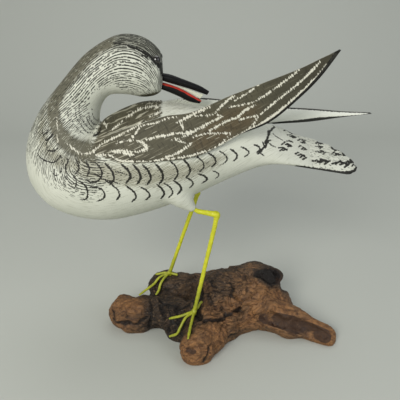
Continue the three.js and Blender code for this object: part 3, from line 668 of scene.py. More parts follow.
FLANK_TINT = [
    [-36.3, 6.0], [-28.7, 5.9], [-21.2, 5.0], [-13.0, 4.7], [-3.9, 4.9], [6, 6.5], [5, 3.5], [-4.0, 0.6],
    [-13.1, -1.0], [-23.4, 0.2], [-31.3, 2.0],
]
BREAST_TINT = [
    [-40.5, 21.0], [-43.5, 17], [-44.3, 11], [-42.5, 6.5], [-38, 3.0], [-33, 2.0], [-30, 4.5],
    [-34, 7], [-38, 9], [-40.5, 13],
]
BACK_TINT = [[-11.5, 15], [-11.5, 24], [3.5, 21], [3.5, 15]]
PALE_THROAT = [
    [-26.6, 13.2], [-24.5, 16.6], [-22.5, 19.5], [-19.5, 19.8], [-19.5, 21.6], [-23.2, 23.2],
    [-27.0, 21.8], [-29.2, 18.8], [-28.9, 15.8], [-27.8, 13.6],
]


def nearest_mark(flat, marks, reach=4.0):
    """How deep each point lies in the nearest mark, in millimetres; negative beside it."""
    spots = flat * SHARE
    best = np.full(len(flat), -reach)
    for width, *path in marks:
        t = np.linspace(0, 1, 8 * (len(path) - 1) + 1)
        line = smooth_line(np.array(path, float), t) * SHARE
        widths = width * np.clip(np.minimum(t, 1 - t) * 6 + 0.45, 0, 1)
        low, high = line.min(axis=0) - reach, line.max(axis=0) + reach
        near = np.flatnonzero(np.all((spots > low) & (spots < high), axis=1))
        for i in range(len(t) - 1):
            share, gap = to_segment(spots[near], line[i], line[i + 1])
            depth = widths[i] * (1 - share) + widths[i + 1] * share - gap
            best[near] = np.maximum(best[near], depth)
    return best


def in_region(flat, outline):
    """Signed distance to an outline in millimetres, positive inside."""
    ring = np.array(outline, float) * SHARE
    spot = flat * SHARE
    gap = np.full(len(spot), 1e9)
    inside = np.zeros(len(spot), bool)
    for a, b in zip(ring, np.roll(ring, -1, axis=0)):
        gap = np.minimum(gap, to_segment(spot, a, b)[1])
        crosses = (a[1] > spot[:, 1]) != (b[1] > spot[:, 1])
        run = b - a
        at = a[0] + (spot[:, 1] - a[1]) * run[0] / (run[1] if run[1] else 1e-9)
        inside ^= crosses & (spot[:, 0] < at)
    return np.where(inside, gap, -gap)


print(len(FEATHER_EDGES), "feather edges and", len(FLANK_BARS), "bars are drawn")

# %% [markdown]
# ## The wings
# Each wing is a thin leaf-shaped blade. It lies on the flank and runs free behind it, where it
# is only as thick as a real carved blade. Its front and top sink into the shoulder, so that
# no step shows there, and its lower edge stands a little proud of the flank.

# %% Shape of the wings
# rows of a wing: x and z of its lower edge, x and z of its upper edge, distance from the middle
LEFT_WING = np.array([
    [-26.4, 8.6, -26.2, 10.4, 6], [-21.5, 6.2, -21.4, 12.8, 8], [-10.3, 6.1, -9.3, 16.6, 8.5],
    [0, 7.3, -2.6, 17.6, 9], [10.3, 12, 7.7, 22.1, 9.5], [17.9, 15.4, 15.2, 25.1, 9.8],
    [25.1, 21.7, 24.7, 28.9, 10], [29.7, 26.7, 29.6, 31.3, 10], [34.1, 33.2, 33.9, 33.3, 10],
])
RIGHT_WING = np.array([
    [-26.4, 8.6, -26.2, 10.4, 6], [-21.5, 6.2, -21.4, 12.8, 7], [-10.3, 5.6, -8.3, 17, 7.5],
    [0, 6, 0, 17.6, 8], [10.3, 7.6, 10.3, 16.6, 8], [19.2, 9.7, 21.8, 15.2, 7.5],
    [31.9, 10.8, 33.2, 14.6, 7], [41.7, 12.2, 42.5, 13.8, 7], [49.9, 13.3, 49.9, 13.5, 7],
])
WINGS = {LEFT: LEFT_WING, RIGHT: RIGHT_WING}
WING_SPAN = {LEFT: 0.66, RIGHT: 0.8}     # length along the blade, as a share of the bird
WING_THICKNESS = 3.2       # in the middle of a blade
WING_EDGE = 1.1            # thickness at its edge
WING_RELIEF = 1.8          # how far it stands out from the flank
WING_SUNK = 0.4            # how deep its front and top lie in the shoulder
WING_BLEND = 12.0          # rounding from where it lies on the body to where it is free
WING_NET = 0.6             # mesh size of a blade, finer than the feather edges
WING_ROWS = 44             # faces from edge to edge


def wing_lines(side, t):
    table = WINGS[side]
    return smooth_line(table[:, [0, 1, 4]], t), smooth_line(table[:, [2, 3, 4]], t)


def wing_skin(side):
    """Skin of a blade; for each point its share up it, its share along it, and 1 if outside."""
    steps = int(BIRD_LENGTH * WING_SPAN[side] / WING_NET)
    t = np.linspace(0, 1, steps + 1)
    lower, upper = wing_lines(side, t)
    rings = []
    even = np.linspace(0, 1, WING_ROWS + 1)
    share = 0.35 * (1 - np.cos(math.pi * even)) / 2 + 0.65 * even     # closer at the edges
    lens = np.sqrt(np.sin(math.pi * share))
    for i in range(steps + 1):
        spot = lower[i] + (upper[i] - lower[i]) * share[:, None]
        x, z = spot[:, 0] * SHARE, BODY_LEVEL + spot[:, 1] * SHARE
        body_half = np.array([half_width_at(a, b, side) for a, b in zip(x, z)])
        reach = soft_max(body_half, spot[:, 2] * SHARE, WING_BLEND)
        lies = np.clip(1 - (reach - body_half) / 3, 0, 1)
        shoulder = np.clip((t[i] - 0.02) / 0.3, 0, 1) ** 0.7
        top = 1 - np.clip((share - 0.72) / 0.28, 0, 1) ** 1.5 * np.clip(1.4 - 3 * t[i], 0, 1)
        sunk = lies * (1 - shoulder * top)
        relief = WING_RELIEF * (1 - sunk) - WING_SUNK * sunk
        thick = np.maximum(WING_EDGE + (WING_THICKNESS - WING_EDGE) * lens,
                           2 * WING_RELIEF - 1.5 * (reach - body_half))
        outside = np.stack([x, side * (reach + relief), z], axis=1)
        inside = np.stack([x, side * (reach + relief - thick), z], axis=1)
        rings.append(np.vstack([outside, inside[::-1]]))
    ring_share = np.concatenate([share, share[::-1]])
    ring_side = np.repeat([1, 0], WING_ROWS + 1)
    # the last two points close the ends
    return (skin(rings), np.concatenate([np.tile(ring_share, steps + 1), [0.5, 0.5]]),
            np.concatenate([np.repeat(t, len(ring_share)), [0, 1]]),
            np.concatenate([np.tile(ring_side, steps + 1), [1, 1]]))


def to_other_wing(marks):
    """Moves marks of the left wing to the same feathers of the right one."""
    share = np.linspace(-0.6, 1.7, 93)
    grids = {}
    for side in WINGS:
        lower, upper = (line[:, None, :2] for line in wing_lines(side, np.linspace(0, 1, 160)))
        grids[side] = lower + (upper - lower) * share[None, :, None]
    moved = []
    for width, *path in marks:
        new_path = []
        for spot in path:
            gap = np.sum((grids[LEFT] - np.array(spot)) ** 2, axis=2)
            new_path.append(list(grids[RIGHT][np.unravel_index(np.argmin(gap), gap.shape)]))
        moved.append([width, *new_path])
    return moved


def shaken(marks, seed, amount=0.35):
    """The same marks made a second time by hand: none is in quite the same place."""
    chance = np.random.default_rng(seed)
    result = []
    for width, *path in marks:
        slip = chance.normal(0, amount, 2)
        result.append([width * chance.uniform(0.85, 1.15),
                       *[list(np.array(p) + slip + chance.normal(0, 0.12, 2)) for p in path]])
    return result


right_edges = shaken(to_other_wing(FEATHER_EDGES), 3, 0.15)
right_cloak = [mark[1] for mark in to_other_wing([[0, p] for p in WING_CLOAK])]
MARKS = {
    LEFT: {"edges": FEATHER_EDGES, "bars": FLANK_BARS + RUMP_LINES + EYE_STRIPE + NECK_LINES,
           "cloak": WING_CLOAK},
    RIGHT: {"edges": right_edges, "cloak": right_cloak,
            "bars": shaken(FLANK_BARS, 8) + shaken(EYE_STRIPE, 9, 0.05) + shaken(NECK_LINES, 10, 0.1)},
}
print("feather edges carried over to the right wing")

# %% [markdown]
# ## Marks of the tail
# The tail is painted in its own plane: rows of ragged blotches, one on each feather, a dark
# line at its root and a dark tip. They run on over the rump, which the feathers are set into.

# %% Plane and blotches of the tail
TAIL_ROLL = math.radians(28)
RAG = 1.4                  # how ragged dark marks are on body and tail; on the wings it is 1
tail_root = place(19.1, 6)
tail_run = unit(place(45.6, -1.9, -1.3) - tail_root)
tail_across = np.array([0, math.cos(TAIL_ROLL), math.sin(TAIL_ROLL)])
tail_across = unit(tail_across - tail_run * np.dot(tail_across, tail_run))
tail_normal = np.cross(tail_run, tail_across)
# place along and across the fan, and size
BLOTCHES = [
    [4.0, -3.0, 2.3], [5.2, -0.6, 2.4], [5.8, 1.4, 1.8], [6.6, 4.5, 2.4], [5.8, 6.8, 2.3],
    [9.8, -2.0, 2.6], [10.3, 1.6, 2.0], [10.1, 4.8, 2.2], [10.5, 7.2, 2.2],
    [16.2, -0.8, 3.5], [16.0, 3.3, 2.1], [15.6, 5.5, 2.0], [15.7, 7.6, 2.0],
    [22.4, 0.6, 3.6], [20.8, 4.3, 2.3], [21.3, 6.6, 1.7], [23.8, 5.6, 1.9], [25.9, 2.6, 3.0],
]
TAIL_LINES = [
    [0.75, [0.4, 7.4], [0.9, 5.6], [0.2, 3.9], [-0.2, 2.4], [-1.0, 1.3], [-1.2, -1.1]],
    [0.7, [-2.5, -4.1], [-1.4, -5.3], [-1.1, -3.3], [-0.1, -2.1]],
    [0.5, [0.2, 1.2], [1.6, 0.5], [3.7, 0.4]],
    [0.35, [1.1, 6.8], [5.7, 8.2], [10.1, 8.3], [14.5, 8.4]],
]
# near edge of the fan, and the tips of its feathers
TAIL_RIM = [
    [1.5, [9.0, -4.8], [14.0, -3.9], [19.0, -2.9], [23.5, -1.9], [25.8, -0.9], [27.0, 0.5], [27.6, 1.6],
     [27.5, 2.6]],
    [2.0, [25.6, 3.4], [26.6, 4.3]], [1.9, [23.4, 5.6], [24.3, 6.6]], [1.9, [20.1, 7.0], [21.0, 8.0]],
    [1.7, [15.6, 7.9], [16.6, 8.7]],
]


def dab(along, across, size, chance):
    """A blotch: a short thick stroke, and slanted ones that hang from it like fingers."""
    strokes = [[0.28 * size + 0.25, [along - 0.1 * size, across + 0.2 * size],
                [along + 0.5 * size, across + 0.25 * size]]]
    for i in range(2 if size < 1.9 else 4):
        foot = along + (0.3 * i - 0.75 + chance.uniform(-0.12, 0.12)) * size
        fall = chance.uniform(0.1, 0.6) * size
        rise = chance.uniform(0.0, 0.5) * size
        strokes.append([0.14 * size + 0.2, [foot, across - fall], [foot + 0.55 * size, across + rise]])
    return strokes


dabbing = np.random.default_rng(6)
TAIL_MARKS = TAIL_LINES + [stroke for blotch in BLOTCHES for stroke in dab(*blotch, dabbing)]


def where_on_tail(points):
    """Which points belong to the tail's upper face, and how deep they lie in its marks."""
    gap = points - tail_root
    plan = np.stack([gap @ tail_run, gap @ tail_across], axis=1) / SHARE
    above = gap @ tail_normal
    return (plan[:, 0] > -3) & (above > -1.5), nearest_mark(plan, TAIL_MARKS)


# %% [markdown]
# ## Painting plan on the skin
# Every point of a painted piece gets a few plain numbers: how deep it lies in a brush mark or
# a region, and how dense the streaks are there. They change smoothly, so a shader can cut
# them off at a ragged line that is finer than the mesh. Where a brush mark runs, the
# mesh is split once more, so that the mark keeps its edge.

# %% Write the painting plan
STREAK_GIRTH = 2.6         # millimetres round the form for a radius of one and one radian
MANTLE_ENDS = -10.3        # behind it the back is left white
BREAST_FROM = 85.0         # millimetres along the bird, where the breast's streaks take over
FAR = -4.0                 # for points far from every mark, and -FAR for points well inside one
MARK_FIELDS = ("feather_edge", "cloak", "band", "crown", "brown", "tint")


def streak_plan(points, flat, along, angle, fields):
    """How dense the streaks are, from 0 to 1: dense on the neck, broken off on the breast."""
    streak = np.interp(np.abs(angle), [0, 0.8, 1.7, 2.4, 3.0], [0.95, 0.8, 0.66, 0.5, 0.3])
    from_keel = np.clip(np.abs(points[:, 1]) / 15, 0, 1)
    breast = np.clip(0.36 + in_region(flat, STREAKED_BREAST) / 16, 0, 0.64)
    streak = np.where(along > BREAST_FROM, breast * (0.55 + 0.45 * from_keel), streak)
    streak = np.maximum(streak - np.clip(0.5 + in_region(flat, PALE_THROAT) / 5, 0, 0.9), 0)
    streak = np.maximum(streak, np.clip(0.2 + fields["tint"] / 20, 0, 0.3))
    over_band = np.interp(flat[:, 1], [8, 22], [0.1, 0.42])
    streak = np.minimum(streak, np.clip(0.75 - fields["band"] / 5, over_band, 1))
    return np.maximum(streak, np.clip(0.6 + fields["crown"] / 6, 0, 0.95))


def paint_plan(made, painted_face=None, rim_and_shadow=None):
    """painted_face is 1 on the painted outer side of a blade; the last argument says how deep each point
    lies in the blade's dark rim and in its band of painted shadow.
    """
    points = read_points(made.data)
    flat = drawn(points)
    along, angle = where_on_body(points)
    fields = {name: np.full(len(points), FAR) for name in ("dark_mark", *MARK_FIELDS)}
    for side, marks in MARKS.items():
        here = np.flatnonzero(points[:, 1] * side >= 0)
        fields["feather_edge"][here] = nearest_mark(flat[here], marks["edges"])
        fields["dark_mark"][here] = nearest_mark(flat[here], marks["bars"])
        fields["cloak"][here] = in_region(flat[here], marks["cloak"])
    if painted_face is None:
        # the cloak ends on the back, in a line that the brush left a little wavy
        mantle = (MANTLE_ENDS - flat[:, 0] + 0.35 * np.sin(3.1 * flat[:, 1])) * SHARE
        fields["cloak"] = np.minimum(fields["cloak"], mantle)
        fields["feather_edge"] = np.minimum(fields["feather_edge"], mantle)
        on_tail, tail_mark = where_on_tail(points)
        fields["dark_mark"] = np.maximum(np.where(on_tail, tail_mark, FAR), fields["dark_mark"])
        fields["painted"] = np.ones(len(points))
        fields["rag"] = np.full(len(points), RAG)
    else:
        fields["cloak"] = np.where(flat[:, 0] > -14, -FAR, np.maximum(fields["cloak"], -0.5))
        fields["dark_mark"] = np.where(painted_face > 0.5, fields["dark_mark"], -3.0)
        # the blade's dark rim, with its band of painted shadow along the lower edge
        fields["dark_mark"] = np.maximum(fields["dark_mark"], rim_and_shadow)
        fields["painted"] = painted_face
        fields["rag"] = np.ones(len(points))
    fields["band"] = np.minimum(in_region(flat, NAPE_BAND), 3 - points[:, 1])
    fields["crown"] = in_region(flat, CROWN)
    fields["brown"] = in_region(flat, BROWN_PATCH)
    fields["tint"] = np.max([in_region(flat, FLANK_TINT) - 0.5, in_region(flat, BREAST_TINT) - 3,
                             in_region(flat, BACK_TINT) - 7.5], axis=0)
    fields["streak"] = streak_plan(points, flat, along, angle, fields)
    radius = np.interp(along, row_length, np.sqrt(body_rows[:, 4] * row_size / 2 / SHARE))
    fields["flow_along"] = along
    fields["flow_round"] = angle * radius * STREAK_GIRTH
    write_fields(made.data, fields)
    return fields


def refine(made, wanted):
    """Splits the mesh once where wanted is true."""
    work = bmesh.new()
    work.from_mesh(made.data)
    edges = [e for e in work.edges if wanted[e.verts[0].index] and wanted[e.verts[1].index]]
    bmesh.ops.subdivide_edges(work, edges=edges, cuts=1, use_grid_fill=True)
    bmesh.ops.triangulate(work, faces=[f for f in work.faces if len(f.verts) > 4])
    for face in work.faces:
        face.smooth = True
    work.to_mesh(made.data)
    work.free()
    made.data.update()


# %% [markdown]
# ## Hand-painted wood
# Thin artist's acrylic on sealed wood: matt, with brush hairs in it. The ground is a slightly
# green white. Olive streaks follow the neck in broken lines, a taupe cloak covers back and
# wings, and cream comb-like edges outline its feathers. Black bars are set on the flank with a
# loaded brush. The paint is built up in coats, as a painter works.


# %% Lines of a brush
def slanted_space(step, slope, length, width):
    """Space whose units are length by width millimetres, turned in the side view by degrees."""
    return step("stretch", step("place"), (length * MM, 6 * MM, width * MM),
                (0.0, math.radians(-slope), 0.0), vector_type="TEXTURE")


def flow_space(step, length, width, shift=0.0):
    """Space that is stretched along the form: one unit is length by width, in millimetres."""
    return step("join", step("DIVIDE", step("field", attribute_name="flow_along"), length),
                step("DIVIDE", step("field", attribute_name="flow_round"), width), shift)


def broken_lines(step, spacing, dash, width, amount, shift):
    """Lines along the form, width as a share of their spacing, that break off; 0 to 1."""
    bend = step("SUBTRACT", step("noise", flow_space(step, 16.0, 6.0, shift), 1.0, 1.0), 0.5)
    lane = step("DIVIDE", step("field", attribute_name="flow_round"), spacing)
    lane = step("ADD", lane, step("MULTIPLY", bend, 2.4 / spacing))
    off_line = step("ABSOLUTE", step("SUBTRACT", step("FRACT", lane), 0.5))
    dashes = step("DIVIDE", step("field", attribute_name="flow_along"), dash)
    dashes = step("join", dashes, step("MULTIPLY", step("FLOOR", lane), 7.31), shift)
    broken = step("MULTIPLY_ADD", step("noise", dashes, 1.0, 1.0), 2.6, -0.8)
    present = step("soft ramp", step("SUBTRACT", amount, broken), -0.08, 0.08)
    present = step("MULTIPLY", present, step("soft ramp", amount, 0.03, 0.2))
    swell = step("ADD", step("noise", dashes, 2.7, 1.0), step("MULTIPLY_ADD", amount, 0.7, 0.05))
    line = step("SUBTRACT", step("MULTIPLY", swell, width), off_line)
    return step("MULTIPLY", step("soft ramp", line, -0.05, 0.06), present)


# %% Paint of the bird
def bird_paint():
    """Acrylic that a brush laid on in coats; its hairs leave a matt, faintly combed surface."""
    made, step = new_material("acrylic_hand_painted_on_wood")
    names = (*MARK_FIELDS, "dark_mark", "rag", "painted", "streak")
    field = {name: step("field", attribute_name=name) for name in names}
    spot = step("place")
    crumbs = step("SUBTRACT", step("noise", spot, 1250.0, 1.0), 0.5)                      # 0.8 mm
    hairs = step("SUBTRACT", step("noise", flow_space(step, 7.0, 0.8), 1.0, 2.0), 0.5)    # 0.8 mm

    def coat(below, amount, above, strength=1.0):
        """Another coat of paint where amount is 1; a text is a hex colour."""
        above = colour(above) if isinstance(above, str) else above
        return step("mix", step("MULTIPLY", amount, strength), below, above)

    def two_tone(size, detail, first, second):
        return step("mix", step("noise", spot, size, detail), colour(first), colour(second))

    def frayed(name, fray, low, high):
        """Inside of a region, with an edge that the brush hairs fray."""
        return step("soft ramp", step("MULTIPLY_ADD", hairs, fray, field[name]), low, high)

    # ground coat
    white = two_tone(45.0, 2.0, "#c6c9ba", "#dadbcf")
    white = coat(white, step("soft ramp", hairs, 0.0, 0.25), "#aeb0a0", 0.8)
    white = coat(white, frayed("tint", 12.0, -4.0, 3.0), "#8f8a72", 0.55)
    # the inner faces of the wings get a lighter white, partly painted light where the left wing shades the
    # right one
    white = coat(white, step("SUBTRACT", 1.0, field["painted"]), "#eceee4", 0.75)
    # taupe band and crown under the streaks
    band = frayed("band", 5.0, -1.2, 1.6)
    crown = frayed("crown", 9.0, -2.5, 1.5)
    taupe = two_tone(80.0, 3.0, "#434134", "#5b5745")
    paint = coat(white, band, coat(taupe, step("soft ramp", hairs, -0.2, 0.25), "#585443"), 0.92)
    dusty = coat(colour("#434338"), step("soft ramp", hairs, -0.1, 0.2), "#747468")
    paint = coat(paint, crown, dusty, 0.9)
    # streaks in two sets that fall out of step, hair lines on the flank, flecks over the band
    streaks = broken_lines(step, 1.5, 2.9, 0.19, field["streak"], 0.0)
    paint = coat(paint, streaks, "#1e1f18", 0.95)
    streaks = broken_lines(step, 1.9, 2.2, 0.15, step("SUBTRACT", field["streak"], 0.12), 5.0)
    paint = coat(paint, streaks, "#1e1f18", 0.85)
    flank = step("MULTIPLY", step("soft ramp", field["tint"], -7.0, 2.0), 0.75)
    paint = coat(paint, broken_lines(step, 1.0, 8.0, 0.17, flank, 3.0), "#55523f", 0.7)
    flecked = step("MULTIPLY", step("MAXIMUM", band, step("MULTIPLY", crown, 1.25)), 0.26)
    paint = coat(paint, broken_lines(step, 1.45, 2.2, 0.15, flecked, 9.0), "#c2c3b2", 0.85)
    # taupe cloak with the barbs of its feathers
    feathers = coat(taupe, step("soft ramp", field["brown"], -5.0, 3.0), "#5f4e36", 0.5)
    barbs = step("noise", slanted_space(step, -58.0, 5.0, 0.8), 1.0, 2.0)
    vanes = step("noise", slanted_space(step, 27.0, 9.0, 0.85), 1.0, 2.0)
    feathers = coat(feathers, step("soft ramp", barbs, 0.54, 0.68), "#2d2a22", 0.6)
    feathers = coat(feathers, step("soft ramp", vanes, 0.55, 0.7), "#322e25", 0.5)
    feathers = coat(feathers, step("soft ramp", vanes, 0.42, 0.32), "#7d7765", 0.45)
    along_bird = step("split", spot, output="X")
    feathers = coat(feathers, step("soft ramp", along_bird, 0.02, 0.07), "#2b2820", 0.5)
    hair_lines = step("noise", slanted_space(step, 22.0, 11.0, 0.75), 1.0, 1.0)
    front = step("soft ramp", along_bird, 0.0, -0.05)
    hair_lines = step("soft ramp", step("MULTIPLY_ADD", front, 0.16, hair_lines), 0.73, 0.78)
    feathers = coat(feathers, hair_lines, "#b8b5a2", 0.7)
    cloak = step("MULTIPLY", frayed("cloak", 5.0, -0.6, 0.8), field["painted"])
    paint = coat(paint, cloak, feathers)
    # cream feather edges, combed with the tip of the brush
    comb = step("noise", slanted_space(step, -62.0, 3.2, 0.7), 1.0, 1.0)
    edge = step("MULTIPLY_ADD", comb, 3.0, step("ADD", field["feather_edge"], -1.5))
    edge = step("soft ramp", step("MULTIPLY_ADD", crumbs, 1.4, edge), -0.12, 0.2)
    cream = two_tone(400.0, 2.0, "#c9c6b4", "#e6e4d6")
    paint = coat(paint, step("MULTIPLY", edge, field["painted"]), cream, 0.95)
    # black bars
    bars = step("MULTIPLY_ADD", crumbs, field["rag"], field["dark_mark"])
    paint = coat(paint, step("soft ramp", bars, -0.12, 0.16), "#12110d", 0.97)

    brush = step("MULTIPLY_ADD", hairs, 0.7, crumbs)
    finish_material(made, paint, 0.6, (brush, 0.4, 0.3), {"IOR": 1.49, "Specular IOR Level": 0.28})
    return made


BIRD_PAINT = bird_paint()

# %% Paint the body
MANTLE_STEP = 0.7          # height of the step in which the mantle ends on the back


def raise_mantle(made):
    """Lifts the mantle a little, because it lies over the rump."""
    points = read_points(made.data)
    flat = drawn(points)
    over = np.clip((MANTLE_ENDS - flat[:, 0]) * SHARE / 1.2, 0, 1)
    over *= np.clip((flat[:, 1] - 12) / 3, 0, 1) * np.clip((flat[:, 0] + 24) / 8, 0, 1)
    write_points(made.data, points + MANTLE_STEP * over[:, None] * read_vectors(made.data, "normal"))


def keep_in_box(points, node, zone=12.0):
    """Draws a skin back inside its solid's box; only its outermost millimetres move."""
    low, high = (np.array(corner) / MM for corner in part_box(node))
    for axis in range(3):
        for limit, way in ((high[axis], 1), (low[axis], -1)):
            from_limit = way * (points[:, axis] - limit) + zone
            most = from_limit.max()
            if most > zone:
                drawn_in = np.where(from_limit > 0, from_limit * zone / most, from_limit)
                points[:, axis] = limit + way * (drawn_in - zone)
    return points


raise_mantle(body)
write_points(body.data, keep_in_box(read_points(body.data), "carved_bird"))
dress(body.data, BIRD_PAINT)
plan = paint_plan(body)
refine(body, np.maximum(plan["feather_edge"], plan["dark_mark"]) > -1.1)
paint_plan(body)
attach(body, "root")
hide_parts("carved_bird")
print("body painted:", len(body.data.polygons), "faces")

# %% [markdown]
# The wings carry the same paint. Only their outer side is dark: the inner side stays a lighter white,
# partly as painted light, with a thin dark rim where the brush went round the edge. Towards the
# tips a broader dark band along the lower edge is partly dark edge paint and partly painted shadow.

# %% Paint the wings
for side, name in ((LEFT, "left_wing"), (RIGHT, "right_wing")):
    blade, share, t, outer_side = wing_skin(side)
    wing = make_object(name, *blade, BIRD_PAINT)
    lower, upper = wing_lines(side, t)
    width = np.linalg.norm((upper - lower)[:, :2], axis=1) * SHARE
    from_lower, from_upper = share * width, (1 - share) * width
    thin = np.clip(width / 8, 0.25, 1)
    # towards the tips a broad dark band along the lower edge, on the inner and the outer face: partly the
    # blade's dark edge, partly painted shadow cast below the wing
    shadow_band = np.clip((t - 0.5) * 4, 0, 1) * (2.2 if side == LEFT else 3.0 * thin)
    inner_rim_and_shadow = np.max([0.9 * thin - from_lower, 0.7 * thin - from_upper, shadow_band - from_lower], axis=0)
    outer_rim_and_shadow = np.interp(t, [0, 0.42, 0.55, 0.8, 0.92, 1], [-2, -1, 1.0, 2.4, 3.6, 4.0]) - from_lower
    # rim: the dark rim and the band of painted shadow, on the face that each point belongs to
    rim = np.where(outer_side > 0.5, outer_rim_and_shadow, inner_rim_and_shadow)
    rim = np.where(t < 0.3, -3.0, rim)
    paint_plan(wing, outer_side, rim)
    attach(wing, "root")
    print(name, len(wing.data.polygons), "faces")

# %% [markdown]
# ## The tail
# Six thin feathers lie side by side, step back towards the right edge and are rolled towards
# the camera. One feather is modelled, and a small Geometry Nodes tree lays it on six points,
# each with its own length, turn and level. That is how a carver would set them too.

# %% Tail feathers by Geometry Nodes
# where each feather's root lies across, and its tip along and across the fan
TAIL_FEATHERS = [[-4, 27, 1.1], [-2.2, 27.6, 1.6], [0, 26.6, 3.3], [2.2, 24.4, 5.2],
                 [4.4, 21, 6.6], [6.2, 16.4, 7.2]]
FEATHER_HALF_WIDTH = 2.4
FEATHER_TIP = 3.0          # length of its round tip
FEATHER_ROOT = -3.0        # where it starts, inside the body
TAIL_THICKNESS = 2.2
TAIL_STEP = 0.7            # how much lower each feather lies than the one above it
HIGHEST_FEATHER = 1.5      # between the second and the third
TAIL_LONGEST = 27.6
QUILL_HEIGHT = 0.28

FEATHER_SECTION = [[-1, -0.15], [-0.4, 0.5], [0.4, 0.5], [1, -0.15], [0.4, -0.5], [-0.4, -0.5]]
section = np.array(FEATHER_SECTION + FEATHER_SECTION[:1])
section = smooth_line(section, np.linspace(0, 1, 43))[:-1] * [1, 0.92]
across, up = section.T
quill = QUILL_HEIGHT * np.exp(-(across / 0.09) ** 2) * (up > 0)
feather_rings = []
for t in np.linspace(0, 1, 110):
    s = FEATHER_ROOT + (TAIL_LONGEST - FEATHER_ROOT) * (1 - (1 - t) ** 1.4)
    in_tip = max((s - TAIL_LONGEST) / FEATHER_TIP + 1, 0)
    half = FEATHER_HALF_WIDTH * max(math.sqrt(1 - in_tip ** 2), 0.08)
    feather_rings.append(np.stack([np.full(len(section), s * SHARE), across * half * SHARE,
                                   up * TAIL_THICKNESS * (1 - 0.45 * in_tip) + quill], axis=1))
feather = make_object("feather_pattern", *skin(feather_rings))

root_across, tip_along, tip_across = np.array(TAIL_FEATHERS).T
order = np.arange(len(TAIL_FEATHERS))
tail = make_object("bird_tail", [[0, beside * SHARE, 0] for beside in root_across], [])
write_fields(tail.data, {
    "turn": np.arctan2(tip_across - root_across, tip_along),
    "level": TAIL_STEP * (1 - np.abs(order - HIGHEST_FEATHER)) * MM,
    "length": tip_along / TAIL_LONGEST})


def new_group(name, inputs):
    """A Geometry Nodes tree, its named inputs, and the outputs that they give inside it."""
    tree = bpy.data.node_groups.new(name, "GeometryNodeTree")
    sockets = {}
    for label, kind in {"Geometry": "Geometry", **inputs}.items():
        sockets[label] = tree.interface.new_socket(label, in_out="INPUT", socket_type="NodeSocket" + kind)
    tree.interface.new_socket("Geometry", in_out="OUTPUT", socket_type="NodeSocketGeometry")
    return tree, sockets, add_node(tree, "NodeGroupInput").outputs


def finish_group(tree, geometry, material):
    """Ends a tree: copies become real, and everything gets its material."""
    real = add_node(tree, "GeometryNodeRealizeInstances", {0: geometry})
    painted = add_node(tree, "GeometryNodeSetMaterial", {0: real.outputs[0], "Material": material})
    add_node(tree, "NodeGroupOutput", {0: painted.outputs[0]})


def run_group(made, tree, sockets, values, material):
    """Runs a tree on an object, with values for its inputs, and keeps the plain mesh."""
    modifier = made.modifiers.new(tree.name, "NODES")
    modifier.node_group = tree
    for label, value in values.items():
        modifier[sockets[label].identifier] = value
    bpy.context.view_layer.update()
    bake(made, material)


fan, fan_sockets, given = new_group(
    "fan_of_feathers", {"Feather": "Object", "Spread": "Float", "Paint": "Material"})
step = steps_of(fan)
raised = add_node(fan, "GeometryNodeSetPosition", {
    "Geometry": given["Geometry"], "Offset": step("join", 0.0, 0.0, step("stored", "level"))})
copies = add_node(fan, "GeometryNodeInstanceOnPoints", {
    "Points": raised.outputs[0],
    "Instance": add_node(fan, "GeometryNodeObjectInfo", {"Object": given["Feather"]}).outputs["Geometry"],
    "Rotation": step("join", 0.0, 0.0, step("MULTIPLY", step("stored", "turn"), given["Spread"])),
    "Scale": step("join", step("stored", "length"), 1.0, 1.0)})
finish_group(fan, copies.outputs[0], given["Paint"])
run_group(tail, fan, fan_sockets, {"Feather": feather, "Spread": 1.0, "Paint": BIRD_PAINT}, BIRD_PAINT)
bpy.data.objects.remove(feather)

tail_flat = read_points(tail.data)
write_points(tail.data, tail_root + tail_flat @ np.array([tail_run, tail_across, tail_normal]))
print("tail laid out:", len(tail.data.polygons), "faces")

# %% [markdown]
# The tail gets the marks that were drawn in its plane, and its tips a dark rim. Its underside
# carries no blotches, because nobody sees it when the bird stands on a shelf.

# %% Paint the tail
on_top, tail_mark = where_on_tail(read_points(tail.data))
tip_rim = nearest_mark(tail_flat[:, :2] / SHARE, TAIL_RIM)
under = tail_flat[:, 2] < -0.6
even = np.ones(len(tail_flat))
write_fields(tail.data, {
    **{name: -6.0 * even for name in MARK_FIELDS},
    "dark_mark": np.maximum(np.where(under, -3.0, tail_mark), tip_rim),
    "painted": even, "rag": RAG * even, "streak": 0.3 * even,
    "flow_along": tail_flat[:, 0], "flow_round": 1.2 * tail_flat[:, 1]})
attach(tail, "root")
print("tail painted on", np.count_nonzero(on_top), "points")

# %% [markdown]
# ## The bill and the feather in it
# The two mandibles stand open. They are whittled wood with satin black paint, and the lower
# one has a bright red inner face. The loose feather between them is a thin pale leaf.

# %% Bill and preened feather
# rows as in the table of the body
UPPER_MANDIBLE = [
    [-11.84, 26.3, -12.28, 24.74, 1.05, 0.5, 0], [-8.07, 25.7, -8.77, 23.6, 1.18, 0.5, 0],
    [-5.22, 24.69, -5.92, 22.76, 1.01, 0.5, 0], [-2.5, 23.68, -3.07, 21.93, 0.92, 0.5, 0],
    [0.26, 22.54, -0.44, 21.01, 0.83, 0.5, 0], [2.5, 21.2, 1.9, 20.2, 0.6, 0.5, 0],
]
LOWER_MANDIBLE = [
    [-12.72, 24.08, -13.16, 22.37, 0.96, 0.5, 0], [-9.43, 23.42, -10.31, 21.67, 1.05, 0.5, 0],
    [-5.26, 21.93, -5.92, 19.87, 0.92, 0.5, 0], [-1.75, 20, -2.85, 18.38, 0.79, 0.5, 0],
    [0.44, 18.6, -0.22, 17.85, 0.5, 0.5, 0],
]
GAPE_LEVEL = 0.27          # the inner face of the lower mandible is red above this share of it
BILL_SIDES = 36

